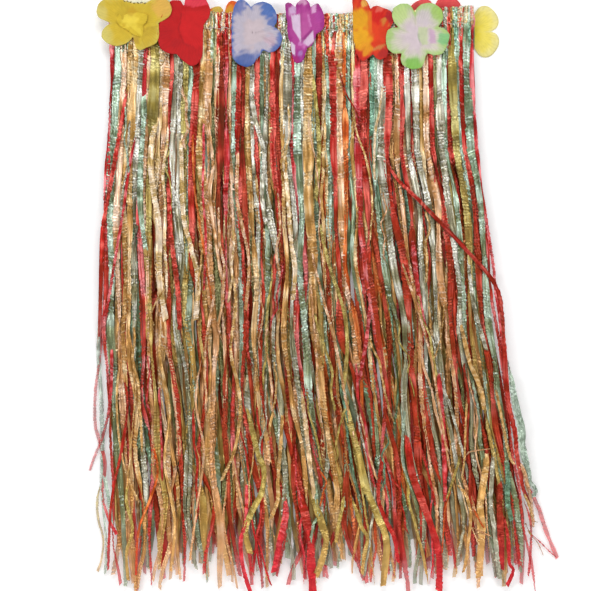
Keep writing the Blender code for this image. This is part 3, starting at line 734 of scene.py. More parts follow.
def smoothRoute(places, count):
    # evenly spaced points on a smooth curve through the places
    knots = np.array([places[0], *places, places[-1]], float)
    knots[0] = 2 * knots[1] - knots[2]
    knots[-1] = 2 * knots[-2] - knots[-3]
    u = np.linspace(0, 1, 40, endpoint=False)[:, None]
    dense = []
    for before, start, stop, after in zip(knots, knots[1:], knots[2:], knots[3:]):
        turning = 2 * before - 5 * start + 4 * stop - after
        easing = 3 * start - before - 3 * stop + after
        dense.append(0.5 * (2 * start + (stop - before) * u + turning * u ** 2 + easing * u ** 3))
    dense = np.vstack(dense + [knots[-2][None]])
    run = np.concatenate([[0], np.cumsum(np.linalg.norm(np.diff(dense, axis=0), axis=1))])
    even = np.linspace(0, run[-1], count)
    return np.interp(even, run, dense[:, 0]), np.interp(even, run, dense[:, 1])


def thinRoutes(spec, rng, count):
    # columns and rows of strips that start and end among the others
    first = rng.uniform(*spec["rows"], (spec["count"], 1))
    last = np.minimum(first + rng.uniform(*spec["lengths"], first.shape), 585.0)
    t = np.linspace(0, 1, count)[None, :]
    row = first + t * (last - first)
    left = readEdge(skirt["leftEdge"], row)
    right = readEdge(skirt["rightEdge"], row)
    lane = left + rng.uniform(0.05, 0.95, first.shape) * (right - left)
    drift = rng.uniform(-1, 1, first.shape) * spec["drift"] * (ease(0, 1, t) - 0.5)
    return lane + drift + spec["wander"] * smoothLines(rng, spec["count"], 7, count), row


def makeStrayStrips(spec):
    rng = np.random.default_rng(spec["seed"])
    rows = spec["rowsAlong"]
    thin = spec["thin"]
    entries = [entry.split(" ", 3) for entry in spec["strips"]]
    routes = [smoothRoute(readPairs(entry[3]), rows) for entry in entries]
    named = len(routes)
    strips = named + thin["count"]
    thinColumn, thinRow = thinRoutes(thin, rng, rows)
    column = np.vstack([[route[0] for route in routes], thinColumn])
    row = np.vstack([[route[1] for route in routes], thinRow])
    t = np.linspace(0, 1, rows)[None, :]
    raised = np.array([float(entry[2]) for entry in entries])
    raised = np.append(raised, rng.uniform(*thin["raised"], thin["count"]))[:, None]
    wide = np.array([float(entry[1]) for entry in entries])
    wide = np.append(wide, rng.uniform(*thin["widths"], thin["count"]))[:, None]
    # they come up between the others, and go down onto the surface at the hem and outside the skirt
    endsInside = (np.arange(strips) >= named)[:, None] * ease(0.84, 1.0, t)
    outside = np.maximum(ease(*spec["rightOutside"], column), ease(*spec["leftOutside"], column))
    lowLeft = ease(*spec["lowLeftOutside"], column) * ease(*spec["lowLeftRows"], row)
    outside = np.maximum(outside, lowLeft)
    ends = (1 - ease(0.0, 0.20, t)) + 0.15 * ease(0.9, 1.0, t) + 0.5 * endsInside
    height = spec["height"] + raised - spec["endDrop"] * ends - spec["outsideDrop"] * outside
    height = height - spec["hemDrop"] * ease(*spec["hemRows"], row) * (1 - outside)
    width = wide * (1 + 0.15 * smoothLines(rng, strips, 9, rows))
    width = width * (0.12 + 0.88 * ease(0, 0.22, t)) * (1 - 0.8 * endsInside)
    film = [entry[0] for entry in entries] + pickFilms(rng, thin["count"], thin["mix"])
    lane = newLane(spec, rng, row, column, height, width, film)
    lane["solidness"] = 1 - spec["sheer"] * outside
    return stripPieces("strayStrips", lane, "fringe_front_top")


stripsMade += makeStrayStrips(strayStrips)
print("stray strips made")


# Folded tops: the strips' upper ends, folded back over the band in narrow ribs and caught by the sewn line.
foldedTops = {
    "count": 170, "rowsAlong": 44, "across": 5, "seed": 67, "height": 10.5, "lengths": (17.5, 21.5),
    "runOn": 0.55, "foldLengths": (30.0, 74.0), "inset": 0.8, "slant": 1.3, "pleated": 2.4,
    "starts": (-1.0, 0.8), "uneven": 0.3, "pinch": 0.5, "edgeDrop": 1.4, "endDrop": 2.0,
    "widths": (2.3, 4.2), "roll": (0.35, 0.0), "turning": 0.0, "curl": (0.2, 0.0), "ridge": 0.3,
    "crinkle": 0.5, "patches": 8, "sheer": 0.0, "paleness": 1.0, "warm": 0.0, "shade": 1.0, "floor": 0.3,
    "ridgeKnots": 9,
    "mix": {"red": 9, "wine": 4, "rose": 6, "orange": 3, "tan": 12, "cream": 17, "gold": 10, "silver": 22,
            "mint": 14, "teal": 5, "olive": 4, "bronze": 3},
}


def makeFoldedTops(spec):
    rng = np.random.default_rng(spec["seed"])
    strips, rows = spec["count"], spec["rowsAlong"]
    column = acrossBand(evenShares(rng, strips, 0.4), spec["inset"])
    t = np.linspace(0, 1, rows)[None, :]
    first = rng.uniform(*spec["starts"], (strips, 1))
    runsOn = rng.uniform(0, 1, (strips, 1)) < spec["runOn"]
    longer = rng.uniform(*spec["foldLengths"], (strips, 1))
    last = np.where(runsOn, longer, rng.uniform(*spec["lengths"], (strips, 1)))
    depth = first + t * (last - first)
    row = bandRow(column, depth * mm)
    column = column + rng.uniform(-spec["slant"], spec["slant"], (strips, 1)) * t * (1 + runsOn)
    column = column + 0.5 * smoothLines(rng, strips, 6, rows)
    pinch = bell(depth, skirt["stitchDepth"] / mm, 1.6)
    height = spec["height"] + rng.uniform(-spec["uneven"], spec["uneven"], (strips, 1))
    height = height - spec["pinch"] * pinch - spec["edgeDrop"] * ease(0.8, -1.0, depth)
    height = height + runsOn * (0.2 * ease(20, 34, depth) - spec["endDrop"] * ease(0.6, 1.0, t))
    width = rng.uniform(*spec["widths"], (strips, 1)) * (1 - 0.35 * pinch)
    width = width * (1 + 0.25 * smoothLines(rng, strips, 5, rows)) * (1 - 0.8 * runsOn * ease(0.5, 1.0, t))
    lane = newLane(spec, rng, row, column, height, width, pickFilms(rng, strips, spec["mix"]))
    lane["crush"] = lane["crush"] * 0.7
    lane["gather"] = 0.5 - 0.25 * ease(20, 50, depth)
    pleats = np.linspace(-1, 1, spec["across"]) * spec["pleated"] + rng.uniform(0, math.tau, (strips, 1))
    lane["pleats"] = np.sin(pleats)[:, None]
    return stripPieces("foldedTops", lane, "waistband")


stripsMade += makeFoldedTops(foldedTops)
print("folded tops made")


# Gathered band: one ribbed ring of film over the elastic, pressed flat.
gatheredBand = {
    "ribs": 118, "pointsPerRib": 6, "low": 2.7, "high": 9.5, "wall": 2.2, "stands": 0.75, "seed": 61,
    "depths": (23.0, 22.6, 20.5, 18.6, 17.0, 15.4, 13.0, 10.0, 7.0, 4.0, 1.8, 0.5, 0.0),
    "full": (0.5, 0.8, 0.8, 0.4, 0.1, 0.4, 0.85, 1.0, 1.0, 1.0, 0.9, 0.5, 0.1),
    "between": 0.45, "innerDepths": (0.3, 6.0, 17.0, 22.7), "cutWidth": 0.90, "cutHeight": 0.023,
    "ribWidths": (0.7, 1.3), "bulges": (0.6, 1.15), "uneven": 0.12, "ragged": 0.9, "shades": (0.8, 1.15),
    "darker": 0.5, "darkAbove": 6.5,  # the front wall lies in the shade of the folded tops
    "finish": {"metallic": 0.4, "roughness": 0.3, "coat": 0.3, "shine": 0.5, "creased": 0.4, "sheer": False},
}


def ringPlace(along, out, spec):
    # column and height at a share of the way round the flattened ring, out millimetres from its outer face
    radius = (spec["high"] - spec["low"]) / 2
    middle = (spec["high"] + spec["low"]) / 2
    fold = radius * mm / gridStep
    first = skirt["bandLeft"] + fold
    last = skirt["bandRight"] - fold
    side = (last - first) * gridStep / mm
    bend = math.pi * radius
    run = along * (2 * side + 2 * bend)
    reach = radius + out
    turnRight = np.clip((run - side) / radius, 0, math.pi)
    turnLeft = np.clip((run - 2 * side - bend) / radius, 0, math.pi)
    # the front, the right fold, the back, and the rest is the left fold
    stretches = [run <= side, run <= side + bend, run <= 2 * side + bend]
    column = np.select(stretches, [first + run / side * (last - first),
                                   last + reach * mm / gridStep * np.sin(turnRight),
                                   last - (run - side - bend) / side * (last - first)],
                       first - reach * mm / gridStep * np.sin(turnLeft))
    height = np.select(stretches, [middle + reach, middle + reach * np.cos(turnRight), middle - reach],
                       middle - reach * np.cos(turnLeft))
    return column, height


def makeBand(spec):
    rng = np.random.default_rng(spec["seed"])
    ribs = spec["ribs"]
    per = spec["pointsPerRib"]
    count = ribs * per
    edges = np.cumsum(rng.uniform(*spec["ribWidths"], ribs))
    edges = np.concatenate([[0], edges]) / edges[-1]
    inRib = (np.arange(count) % per) / per
    rib = np.arange(count) // per
    along = edges[rib] + inRib * (edges[rib + 1] - edges[rib])
    bulge = np.sin(math.pi * inRib) ** 0.7 * rng.uniform(*spec["bulges"], ribs)[rib]
    full = np.array(spec["full"])[:, None]
    out = spec["stands"] * full * bulge - spec["between"] * (1 - full)
    out = out + rng.uniform(-spec["uneven"], spec["uneven"], out.shape)
    out = np.vstack([out, np.full((len(spec["innerDepths"]), count), -spec["wall"])])
    depth = np.concatenate([spec["depths"], spec["innerDepths"]])[:, None] * mm
    column, height = ringPlace(along[None, :], out, spec)
    ragged = rng.uniform(-spec["ragged"], spec["ragged"], ribs)[rib] * (depth < 0.001) * (out > -1)
    points = place(column, bandRow(column, depth) + ragged, height)
    rows = len(depth)
    dyes = np.array([dye(*films[name]["dye"]) for name in pickFilms(rng, ribs, filmMix)])[rib]
    darker = 1 - spec["darker"] * (height > spec["darkAbove"])
    tones = np.ones((rows, count, 4))
    tones[..., :3] = dyes[None] * rng.uniform(*spec["shades"], (rows, count, 1)) * darker[..., None]
    # the last row of the inside is joined to the first of the outside
    first = np.arange(count)
    last = (rows - 1) * count + first
    faces = np.vstack([gridFaces(1, rows, count, closed=True),
                       np.stack([last, np.roll(last, -1), np.roll(first, -1), first], axis=-1)])
    look = filmMaterial("bandFilm", spec["finish"])
    piece = meshPiece("gatheredBand", points.reshape(-1, 3), faces[:, ::-1], tones.reshape(-1, 4), look,
                      False)
    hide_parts("waistband")
    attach(piece, "root")
    return piece


band = makeBand(gatheredBand)
print("gathered band made")


# Sewing thread: pale, it runs round the pinch of the band.
sewing = {"thread": (226, 206, 200), "radius": 0.26, "height": 10.95, "wave": 0.7, "stitches": 62,
          "pointsPerStitch": 8, "zigzag": 0.7, "wander": 0.5}


def threadMaterial(name, colour):
    # dyed thread with its twist
    material, tree, shader = newMaterial(name, {"Roughness": 0.7, "Base Color": (*dye(*colour), 1.0)})
    where = addNode(tree, "TexCoord")
    twist = addNode(tree, "TexWave", {"Scale": 500.0}, bands_direction="DIAGONAL")
    bump = addNode(tree, "Bump", {"Strength": 0.5, "Distance": 0.0001})
    link(tree, (where, "Object", twist, "Vector"), (twist, "Fac", bump, "Height"),
         (bump, "Normal", shader, "Normal"))
    return material


def makeTube(name, line, radius, material, sides=6):
    # a round thread along a line of points
    along = np.gradient(line, axis=0)
    along /= np.linalg.norm(along, axis=-1, keepdims=True)
    side = np.cross([0.0, 0.0, 1.0], along)
    side /= np.linalg.norm(side, axis=-1, keepdims=True)
    up = np.cross(along, side)
    turn = np.linspace(0, math.tau, sides, endpoint=False)
    ring = side[:, None] * np.cos(turn)[None, :, None] + up[:, None] * np.sin(turn)[None, :, None]
    points = line[:, None] + ring * radius * mm
    tones = np.ones((len(line) * sides, 4))
    piece = meshPiece(name, points.reshape(-1, 3), gridFaces(1, len(line), sides, closed=True), tones,
                      material, True)
    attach(piece, "root")
    return piece


def makeSewing(spec):
    per = spec["pointsPerStitch"]
    count = spec["stitches"] * per
    column = acrossBand(np.linspace(0.004, 0.996, count))
    step = np.arange(count) / per * math.tau
    row = bandRow(column, skirt["stitchDepth"]) + spec["zigzag"] * np.sin(step / 2)
    row = row + spec["wander"] * np.sin(step / 5.3)
    height = spec["height"] + spec["wave"] * np.sin(step)
    return makeTube("sewingThread", place(column, row, height), spec["radius"],
                    threadMaterial("paleThread", spec["thread"]))


makeSewing(sewing)
print("sewing made")


def petalEdge(petals, neckShare, angle):
    # reach in columns and lift in millimetres of a flower's outline at each angle in degrees
    ordered = sorted(petals)
    reach = np.zeros(angle.shape)
    lift = np.zeros(angle.shape)
    inside = np.zeros(angle.shape)
    for number, petal in enumerate(ordered):
        before = ordered[number - 1]
        after = ordered[(number + 1) % len(ordered)]
        gapBefore = ((petal[0] - before[0]) % 360) / 2
        gapAfter = ((after[0] - petal[0]) % 360) / 2
        turned = (angle - petal[0] + 180) % 360 - 180
        here = (turned >= -gapBefore) & (turned < gapAfter)
        away = np.where(turned < 0, -turned / gapBefore, turned / gapAfter)
        full = (1 - np.clip(away, 0, 1) ** 3) ** 0.6
        other = np.where(turned < 0, before[1], after[1])
        otherLift = np.where(turned < 0, before[2], after[2])
        neck = neckShare * np.minimum(petal[1], other)
        reach = np.where(here, neck + (petal[1] - neck) * full, reach)
        low = 0.35 * (petal[2] + otherLift)
        lift = np.where(here, low + (petal[2] - low) * full ** 1.4, lift)
        inside = np.where(here, full, inside)
    return reach, lift, inside


def drawnEdge(layer, angle):
    # the same for an outline given as turns in degrees, anticlockwise from the right, and reaches in columns
    turns, reaches = zip(*readPairs(layer["outline"]))

    def averaged(steps):
        return sum(np.interp(angle + step, turns, reaches, period=360) for step in steps) / len(steps)

    reach = averaged((-1.3, 0, 1.3))
    rounded = averaged((-26, -13, 0, 13, 26))
    inside = 1 - np.clip((rounded - reach) / (0.22 * rounded), 0, 1)
    return reach, layer["lift"] * reach / max(reaches), inside


def insideFacet(column, row, corners):
    # 1 inside a flat facet with straight creased edges, 0 outside, soft over one column
    corners = np.array(corners, float)
    following = np.roll(corners, -1, axis=0)
    spin = np.sign(np.sum(corners[:, 0] * following[:, 1] - following[:, 0] * corners[:, 1]))
    nearest = np.full(column.shape, np.inf)
    for (fromColumn, fromRow), (toColumn, toRow) in zip(corners, following):
        across, down = toColumn - fromColumn, toRow - fromRow
        away = (across * (row - fromRow) - down * (column - fromColumn)) / math.hypot(across, down)
        nearest = np.minimum(nearest, away * spin)
    return ease(-0.5, 0.5, nearest)


def foldHeight(folds, column, row):
    # ridges and creases: each from a place to a place, its width in columns and its height in millimetres
    height = np.zeros(column.shape)
    for fromColumn, fromRow, toColumn, toRow, wide, tall in folds:
        across, down = toColumn - fromColumn, toRow - fromRow
        along = ((column - fromColumn) * across + (row - fromRow) * down) / (across ** 2 + down ** 2)
        along = np.clip(along, 0, 1)
        away = np.hypot(column - fromColumn - along * across, row - fromRow - along * down)
        height = height + tall * bell(away, 0.0, wide)
    return height


def paintPetals(cloth, layer, column, row, share, turn, seed):
    # middle, body and rim with soft uneven borders, then patches, facets and veins
    noise = mottle(column * gridStep, row * gridStep, 0.009, seed + 7)
    out = share + cloth["mottling"] * noise
    soft = layer["soft"]
    tone = dye(*layer["middle"])
    for part, border in (("body", "middleTo"), ("rim", "rimFrom")):
        cover = ease(layer[border] - soft, layer[border] + soft, out)[..., None]
        tone = tone * (1 - cover) + dye(*layer[part]) * cover
    for atColumn, atRow, wide, colour, strength in layer.get("patches", ()):
        away = np.hypot(column - atColumn, row - atRow) + 1.6 * noise
        cover = (strength * (1 - ease(wide * 0.55, wide * 1.1, away)))[..., None]
        tone = tone * (1 - cover) + dye(*colour) * cover
    for corners, colour, strength in layer.get("facets", ()):
        cover = (strength * insideFacet(column, row, corners))[..., None]
        tone = tone * (1 - cover) + dye(*colour) * cover
    veins = np.abs(np.sin(turn * layer["veins"] + 2.2 * share + 0.8 * noise)) ** 6
    tone = tone * (1 - cloth["veined"] * veins * ease(0.2, 0.6, share))[..., None]
    tones = np.ones(column.shape + (4,))
    tones[..., :3] = np.clip(tone, 0, 1)
    return tones


def petalSheet(cloth, layer, seed):
    # one stamped layer of a flower: points, dyes and its flat outline
    rng = np.random.default_rng(seed)
    around, outward = cloth["around"], cloth["outward"]
    angle = np.linspace(0, 360, around, endpoint=False)[None, :]
    turn = np.radians(angle)
    share = np.linspace(0.03, 1.0, outward)[:, None] ** 0.85
    if "outline" in layer:
        reach, lift, inside = drawnEdge(layer, angle)
    else:
        reach, lift, inside = petalEdge(layer["petals"], layer["neck"], angle)
    wavy = smoothLines(rng, 1, 29, around + 1)[:, :around]
    wavy = wavy * (1 - ease(around - 12, around, np.arange(around)))
    column = layer["at"][0] + share * reach * np.cos(turn)
    row = layer["at"][1] - share * reach * np.sin(turn)
    height = layer["seat"] + lift * ((1 - cloth["cupped"]) * share + cloth["cupped"] * share ** 2.2)
    height = height + layer["ruffle"] * wavy * share ** 3
    height = height + cloth["bumps"] * mottle(column * gridStep, row * gridStep, 0.012, seed + 3) * share
    between = bell(inside, 0.0, 0.25) * ease(0.25, 0.8, share)
    height = height - cloth["valleys"] * between
    height = height + foldHeight(layer.get("folds", ()), column, row)
    points = place(column, row, height)
    points[..., 2] = np.maximum(points[..., 2], 0.2 * mm)
    tones = paintPetals(cloth, layer, column, row, share, turn, seed)
    edgeX = reach[0] * np.cos(turn[0]) * gridStep
    edgeY = reach[0] * np.sin(turn[0]) * gridStep
    return points, tones, edgeX, edgeY


def makeFlower(name, spec, nodeName):
    # a cloth flower of one or two stamped layers, joined in one piece
    cloth = spec["cloth"]
    allPoints, allFaces, allTones = [], [], []
    area = wide = tall = 0.0
    started = 0
    for number, layer in enumerate(spec["layers"]):
        points, tones, edgeX, edgeY = petalSheet(cloth, layer, spec["seed"] + 31 * number)
        outward, around = points.shape[:2]
        allPoints.append(points.reshape(-1, 3))
        allTones.append(tones.reshape(-1, 4))
        allFaces.append(gridFaces(1, outward, around, closed=True)[:, ::-1] + started)
        half = np.arange(around // 2 - 1)
        middle = np.stack([half, half + 1, around - 2 - half, around - 1 - half], axis=-1)
        allFaces.append(middle + started)
        started += outward * around
        area += 0.5 * abs(np.sum(edgeX * np.roll(edgeY, -1) - np.roll(edgeX, -1) * edgeY))
        wide += np.ptp(edgeX)
        tall = max(tall, np.ptp(edgeY))
    piece = meshPiece(name, np.vstack(allPoints), np.vstack(allFaces), np.vstack(allTones),
                      petalMaterial(name + "Cloth", cloth), True)
    solid = piece.modifiers.new("cloth", "SOLIDIFY")
    solid.thickness = cloth["thick"] * mm
    solid.offset = 0.0
    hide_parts(nodeName)
    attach(piece, "root")
    return piece


# Stamped cloth: its finish, its thickness in millimetres, and the points of a petal sheet. Each layer of a
# flower has its middle, its seat above the surface and the lift of its petals in millimetres, its outline and
# dyes, and the patches, flat facets and folds that lie on it.
frontCloth = {"roughness": 0.72, "sheen": 0.15, "threads": 420.0, "thick": 0.3, "around": 180, "outward": 18,
              "cupped": 0.70, "bumps": 0.22, "valleys": 0.5, "mottling": 0.07, "veined": 0.10}
pressedCloth = {**frontCloth, "around": 110, "outward": 12, "valleys": 0.2}

yellowFlower = {
    "seed": 71, "cloth": frontCloth,
    "layers": (
        {"at": (134, 23), "seat": 12.1, "lift": 4.6, "ruffle": 0.9, "veins": 34,
         "outline": "359:24.6 4:30.5 10:37 18:40.4 29:41 38:39 50:29 57:31 86:29 112:29 128:33 143:37.4 "
                    "153:39.4 165:38.2 173:35 177:28 182:22.6 188:27.5 195:32.4 205:35.2 217:34 233:29.8 "
                    "244:25 262:17 268:13.6 272:20 276:26.2 283:29 296:28.4 308:29.6 318:31 330:29.2 "
                    "344:26.2",
         "middle": (204, 170, 44), "body": (208, 178, 50), "rim": (206, 184, 78), "middleTo": 0.4,
         "rimFrom": 0.88, "soft": 0.16,
         # the darker ochre spots and facets along its folds and creases are painted shade
         "patches": ((101, 38, 14, (214, 206, 122), 0.6), (98, 16, 12, (212, 200, 120), 0.6),
                     (163, 8, 12, (222, 172, 80), 0.85), (148, 42, 9, (196, 164, 50), 0.6),
                     (132, 14, 8, (194, 152, 36), 0.7), (136, 40, 5, (176, 140, 52), 0.6)),
         "facets": ((((119, -14), (154, -14), (151, 1), (146, 3.6), (135, 3.6), (124, 1)), (238, 236, 208),
                     0.95),
                    (((122, 4), (132, 4), (124, 22), (116, 16)), (194, 166, 46), 0.6),
                    (((138, 30), (158, 26), (156, 36), (140, 38)), (188, 156, 46), 0.6)),
         "folds": ((104, 4, 116, 20, 2.0, 1.2), (140, 40, 152, 28, 1.8, 1.3), (120, 2, 124, 26, 1.6, 1.2),
                   (150, 6, 146, 30, 1.6, -1.1))},
        {"at": (131, 22), "seat": 12.8, "lift": 1.5, "ruffle": 0.7, "veins": 30,
         "outline": "0:16 20:18 44:13 72:9 110:9 140:13 170:15 200:12 236:9 262:10 290:15 306:20 318:17 "
                    "340:13",
         "middle": (226, 198, 60), "body": (214, 184, 50), "rim": (206, 176, 46), "middleTo": 0.45,
         "rimFrom": 0.9, "soft": 0.16,
         # the ochre spot on its crease is painted shade
         "patches": ((130, 20, 9, (232, 206, 72), 0.8), (131, 13, 5, (196, 156, 38), 0.6)),
         "facets": ((((129, 25), (142, 37), (141, 29)), (230, 204, 66), 0.7),),
         "folds": ((120, 22, 146, 24, 2.0, 0.9), (130, 25, 141, 36, 1.6, 0.9),
                   (120, 14, 142, 13, 1.6, -0.6))},
    ),
}
redFlower = {
    "seed": 83, "cloth": frontCloth,
    "layers": (
        {"at": (186, 27), "seat": 12.9, "lift": 2.8, "ruffle": 0.3, "veins": 26,
         "outline": "5:17.9 12:20 20:24.5 33:29.4 56:34 84:30 91:27 95:19.5 101:26 118:29.5 146:26 "
                    "176:26.4 203:30 222:33.6 238:32 252:29 266:34.7 278:40.4 286:40 298:34.7 310:26.6 "
                    "323:21.4 342:17.9",
         "middle": (194, 20, 24), "body": (188, 18, 22), "rim": (186, 20, 24), "middleTo": 0.3,
         "rimFrom": 0.93, "soft": 0.08,
         "facets": ((((182, 12), (179, 31), (184, 44), (196, 50), (208, 42), (210, 12)), (206, 24, 28), 0.6),
                    # the three thin dark facets are painted shade along the inner crease
                    (((181, 14), (178, 31), (179.6, 31), (182.6, 14)), (146, 8, 18), 0.5),
                    (((178, 31), (183.2, 44.6), (185, 43.4), (179.6, 30.6)), (146, 8, 18), 0.5),
                    (((183.2, 44.6), (195, 49), (195.4, 47.6), (185, 43.4)), (146, 8, 18), 0.4),
                    (((183, 10), (186, -8), (206, -10), (214, 4), (206, 11), (194, 8)), (222, 58, 76), 0.9)),
         "patches": ((165, 34, 9, (178, 14, 22), 0.7), (176, 44, 6, (174, 16, 24), 0.6)),
         "folds": ((179, 20, 181, 38, 1.4, -1.1), (181, 38, 192, 46, 1.4, -1.0), (184, 10, 208, 9, 1.5, -1.1),
                   (196, 12, 200, 34, 4.0, 0.7), (172, 12, 176, 22, 2.0, 0.6))},
    ),
}
blueFlower = {
    "seed": 97, "cloth": frontCloth,
    "layers": (
        {"at": (254, 33), "seat": 12.2, "lift": 3.6, "ruffle": 0.6, "veins": 30,
         "outline": "2:26 10:23 16:20.6 22:24 32:27.4 44:30 58:32.4 73:32 84:29.5 92:27.2 97:25.2 101:29 "
                    "107:33.8 116:35.6 124:33.4 136:29 158:23.6 180:22 202:23.8 215:26.6 221:29 232:33.6 "
                    "244:35.4 258:35.6 268:32.6 275:27 285:23.8 294:20.2 300:20.4 307:25.4 318:28.2 "
                    "332:29.4 348:29",
         "middle": (196, 180, 186), "body": (186, 178, 192), "rim": (80, 108, 176), "middleTo": 0.45,
         "rimFrom": 0.93, "soft": 0.1,
         "patches": ((268, 11, 9, (62, 104, 176), 0.9), (272, 22, 6, (58, 98, 172), 0.8),
                     (245, 62, 12, (58, 90, 158), 0.85), (238, 8, 8, (84, 104, 170), 0.8),
                     (281, 40, 6, (80, 106, 172), 0.8), (276, 49, 6, (76, 100, 166), 0.8),
                     (256, 58, 7, (92, 110, 170), 0.6), (270, 41, 7, (200, 166, 178), 0.6)),
         "folds": ((262, 36, 276, 43, 1.6, 1.2), (254, 33, 262, 30, 1.5, 1.0), (236, 52, 262, 54, 1.8, -1.1),
                   (262, 34, 276, 29, 1.5, -0.9), (246, 12, 250, 26, 1.5, -0.7))},
    ),
}
magentaFlower = {
    "seed": 101, "cloth": frontCloth,
    "layers": (
        {"at": (303, 31), "seat": 12.2, "lift": 4.4, "ruffle": 0.6, "veins": 24,
         "outline": "4:20 25:23.6 46:27.6 61:30.7 68:27 72:23.6 77:28 84:30.6 91:31 98:29 104:27 109:23.6 "
                    "113:28.6 118:31.6 124:31.6 134:24.5 150:18 165:16.1 194:15.5 227:17.8 244:25 255:33 "
                    "260:34 270:30.7 275:24 283:17.8 297:17.9 315:15.5 345:13.5",
         "middle": (184, 88, 154), "body": (176, 66, 146), "rim": (160, 46, 132), "middleTo": 0.3,
         "rimFrom": 0.85, "soft": 0.12,
         # the pale lilac spots and facets are painted highlights on its petals and folds
         "patches": ((300, 56, 8, (158, 42, 136), 0.8), (319, 17, 6, (172, 66, 152), 0.6),
                     (302, 1, 5, (214, 160, 194), 0.85), (292, 11, 5, (224, 192, 224), 0.6),
                     (300.5, 55.5, 3.4, (168, 124, 186), 0.8), (296, 60, 4, (164, 34, 108), 0.8),
                     (302, 45, 4, (214, 134, 200), 0.7), (316, 3, 3.4, (146, 112, 126), 0.6),
                     (288.5, 2.5, 3, (140, 90, 120), 0.5)),
         "facets": ((((300, 14), (309, 12), (310.5, 31), (303, 39), (300.5, 42)), (184, 82, 152), 0.7),
                    (((307, 15), (309, 15), (311.6, 27), (310, 28)), (212, 130, 192), 0.8),
                    (((300.6, 40), (301.6, 44), (313, 31), (311, 30)), (128, 40, 110), 0.6),
                    (((291, 16), (300, 15), (301, 42), (293, 30)), (218, 196, 220), 0.9),
                    (((303, 43), (313, 31), (314, 42), (308, 47)), (220, 192, 218), 0.9),
                    (((290, 8), (296, 8), (296, 14), (290, 15)), (206, 168, 208), 0.8),
                    (((291, 42), (295, 46), (295, 56), (291, 54)), (222, 206, 224), 0.9),
                    (((311, 6), (316, 5), (316, 13), (312, 14)), (230, 180, 220), 0.8)),
         "folds": ((300, 8, 301, 42, 1.2, 1.2), (304, 42, 313, 29, 1.2, 1.1), (309, 6, 312, 28, 1.2, -1.0),
                   (294, 46, 306, 48, 1.4, -0.8))},
    ),
}
orangeFlower = {
    "seed": 113, "cloth": frontCloth,
    "layers": (
        {"at": (371, 33), "seat": 12.4, "lift": 3.2, "ruffle": 0.6, "veins": 24,
         "outline": "17:20.4 26:25 34:27 48:28.8 60:27.4 66:27 77:27.4 86:25.8 92:23 97:31 106:36 114:38 "
                    "120:38.2 126:31 140:23.2 164:18.7 190:18 219:20.5 239:26.8 254:30.6 262:26.4 268:24 "
                    "275:21.6 280:26 288:29.2 304:28.6 314:24.4 344:17.7",
         "middle": (222, 62, 24), "body": (216, 58, 24), "rim": (198, 40, 26), "middleTo": 0.4,
         "rimFrom": 0.86, "soft": 0.14,
         # the pale pink spot at column 379, row 9 is a painted highlight
         "patches": ((359, 20, 13, (226, 162, 26), 0.95), (360, 38, 13, (230, 166, 26), 0.95),
                     (366, 49, 8, (226, 152, 30), 0.85), (356, 2, 4, (220, 60, 26), 0.8),
                     (364, 4, 4, (236, 184, 84), 0.85), (378, 17, 9, (206, 20, 18), 0.85),
                     (379, 9, 4, (226, 108, 90), 0.75), (390, 18, 6, (160, 18, 36), 0.85),
                     (384, 23, 4, (208, 134, 54), 0.8), (383, 54, 6, (172, 34, 32), 0.85)),
         "facets": ((((367, 11), (371.5, 12), (372, 34), (368, 34)), (230, 120, 30), 0.65),
                    (((372, 47.5), (380, 45.5), (385, 43), (386, 45), (381, 49.5), (373, 51.5)),
                     (202, 134, 70), 0.75),
                    (((361, -4), (362.4, -4), (368, 9), (366.8, 10)), (176, 96, 30), 0.5)),
         "folds": ((366, 10, 368, 36, 1.6, 1.1), (372, 44, 388, 46, 1.5, -1.1), (380, 12, 382, 32, 1.6, 1.0),
                   (360, 48, 372, 44, 1.4, 0.9))},
    ),
}
greenFlower = {
    "seed": 127, "cloth": frontCloth,
    "layers": (
        {"at": (417, 37), "seat": 12.3, "lift": 4.0, "ruffle": 0.6, "veins": 30,
         "outline": "3:32.4 15:28.3 25:22.6 33:30.6 48:36.1 60:36.4 70:35.4 84:31.6 92:27.4 96:22.6 "
                    "100:29 106:33.6 117:36.4 131:36.8 142:32 150:26 155:19.6 160:25.6 168:30.2 182:31.4 "
                    "203:32.2 216:29.4 223:25 228:22.6 233:28 243:32.4 261:33.4 277:31.6 286:26 292:21.6 "
                    "302:19.6 312:25.6 325:30.6 345:31",
         "middle": (208, 192, 198), "body": (208, 202, 186), "rim": (172, 202, 124), "middleTo": 0.5,
         "rimFrom": 0.82, "soft": 0.2,
         "patches": ((400, 15, 10, (188, 212, 132), 0.85), (437, 14, 9, (158, 194, 92), 0.8),
                     (413, 65, 10, (126, 186, 78), 0.9), (444, 40, 8, (126, 192, 124), 0.85),
                     (388, 36, 6, (164, 196, 116), 0.8), (424, 18, 9, (204, 192, 198), 0.7)),
         "facets": ((((418, 27), (427, 28), (427.5, 45), (422, 45.5), (418, 38)), (190, 204, 152), 0.75),
                    (((416.6, 28), (418.4, 27), (419.6, 38), (423, 46), (421, 46), (417.4, 39)),
                     (158, 170, 144), 0.6),
                    (((429, 29), (434, 31), (436, 44), (429.5, 44)), (200, 156, 192), 0.7)),
         "folds": ((417, 8, 416, 26, 1.6, -1.0), (402, 54, 426, 54, 1.8, -1.0), (420, 29, 421, 44, 1.4, 1.4),
                   (428, 31, 427, 44, 1.6, -1.1), (396, 30, 408, 34, 1.5, -0.7))},
    ),
}


# Stitches of the yellow flower: small and dark, along its folded upper edge.
yellowStitches = {"thread": (66, 58, 40), "radius": 0.3, "height": 14.0, "wave": 0.9, "zigzag": 0.5,
                  "columns": (124.0, 133.0, 148.0), "rows": (1.4, 3.4, 3.8)}


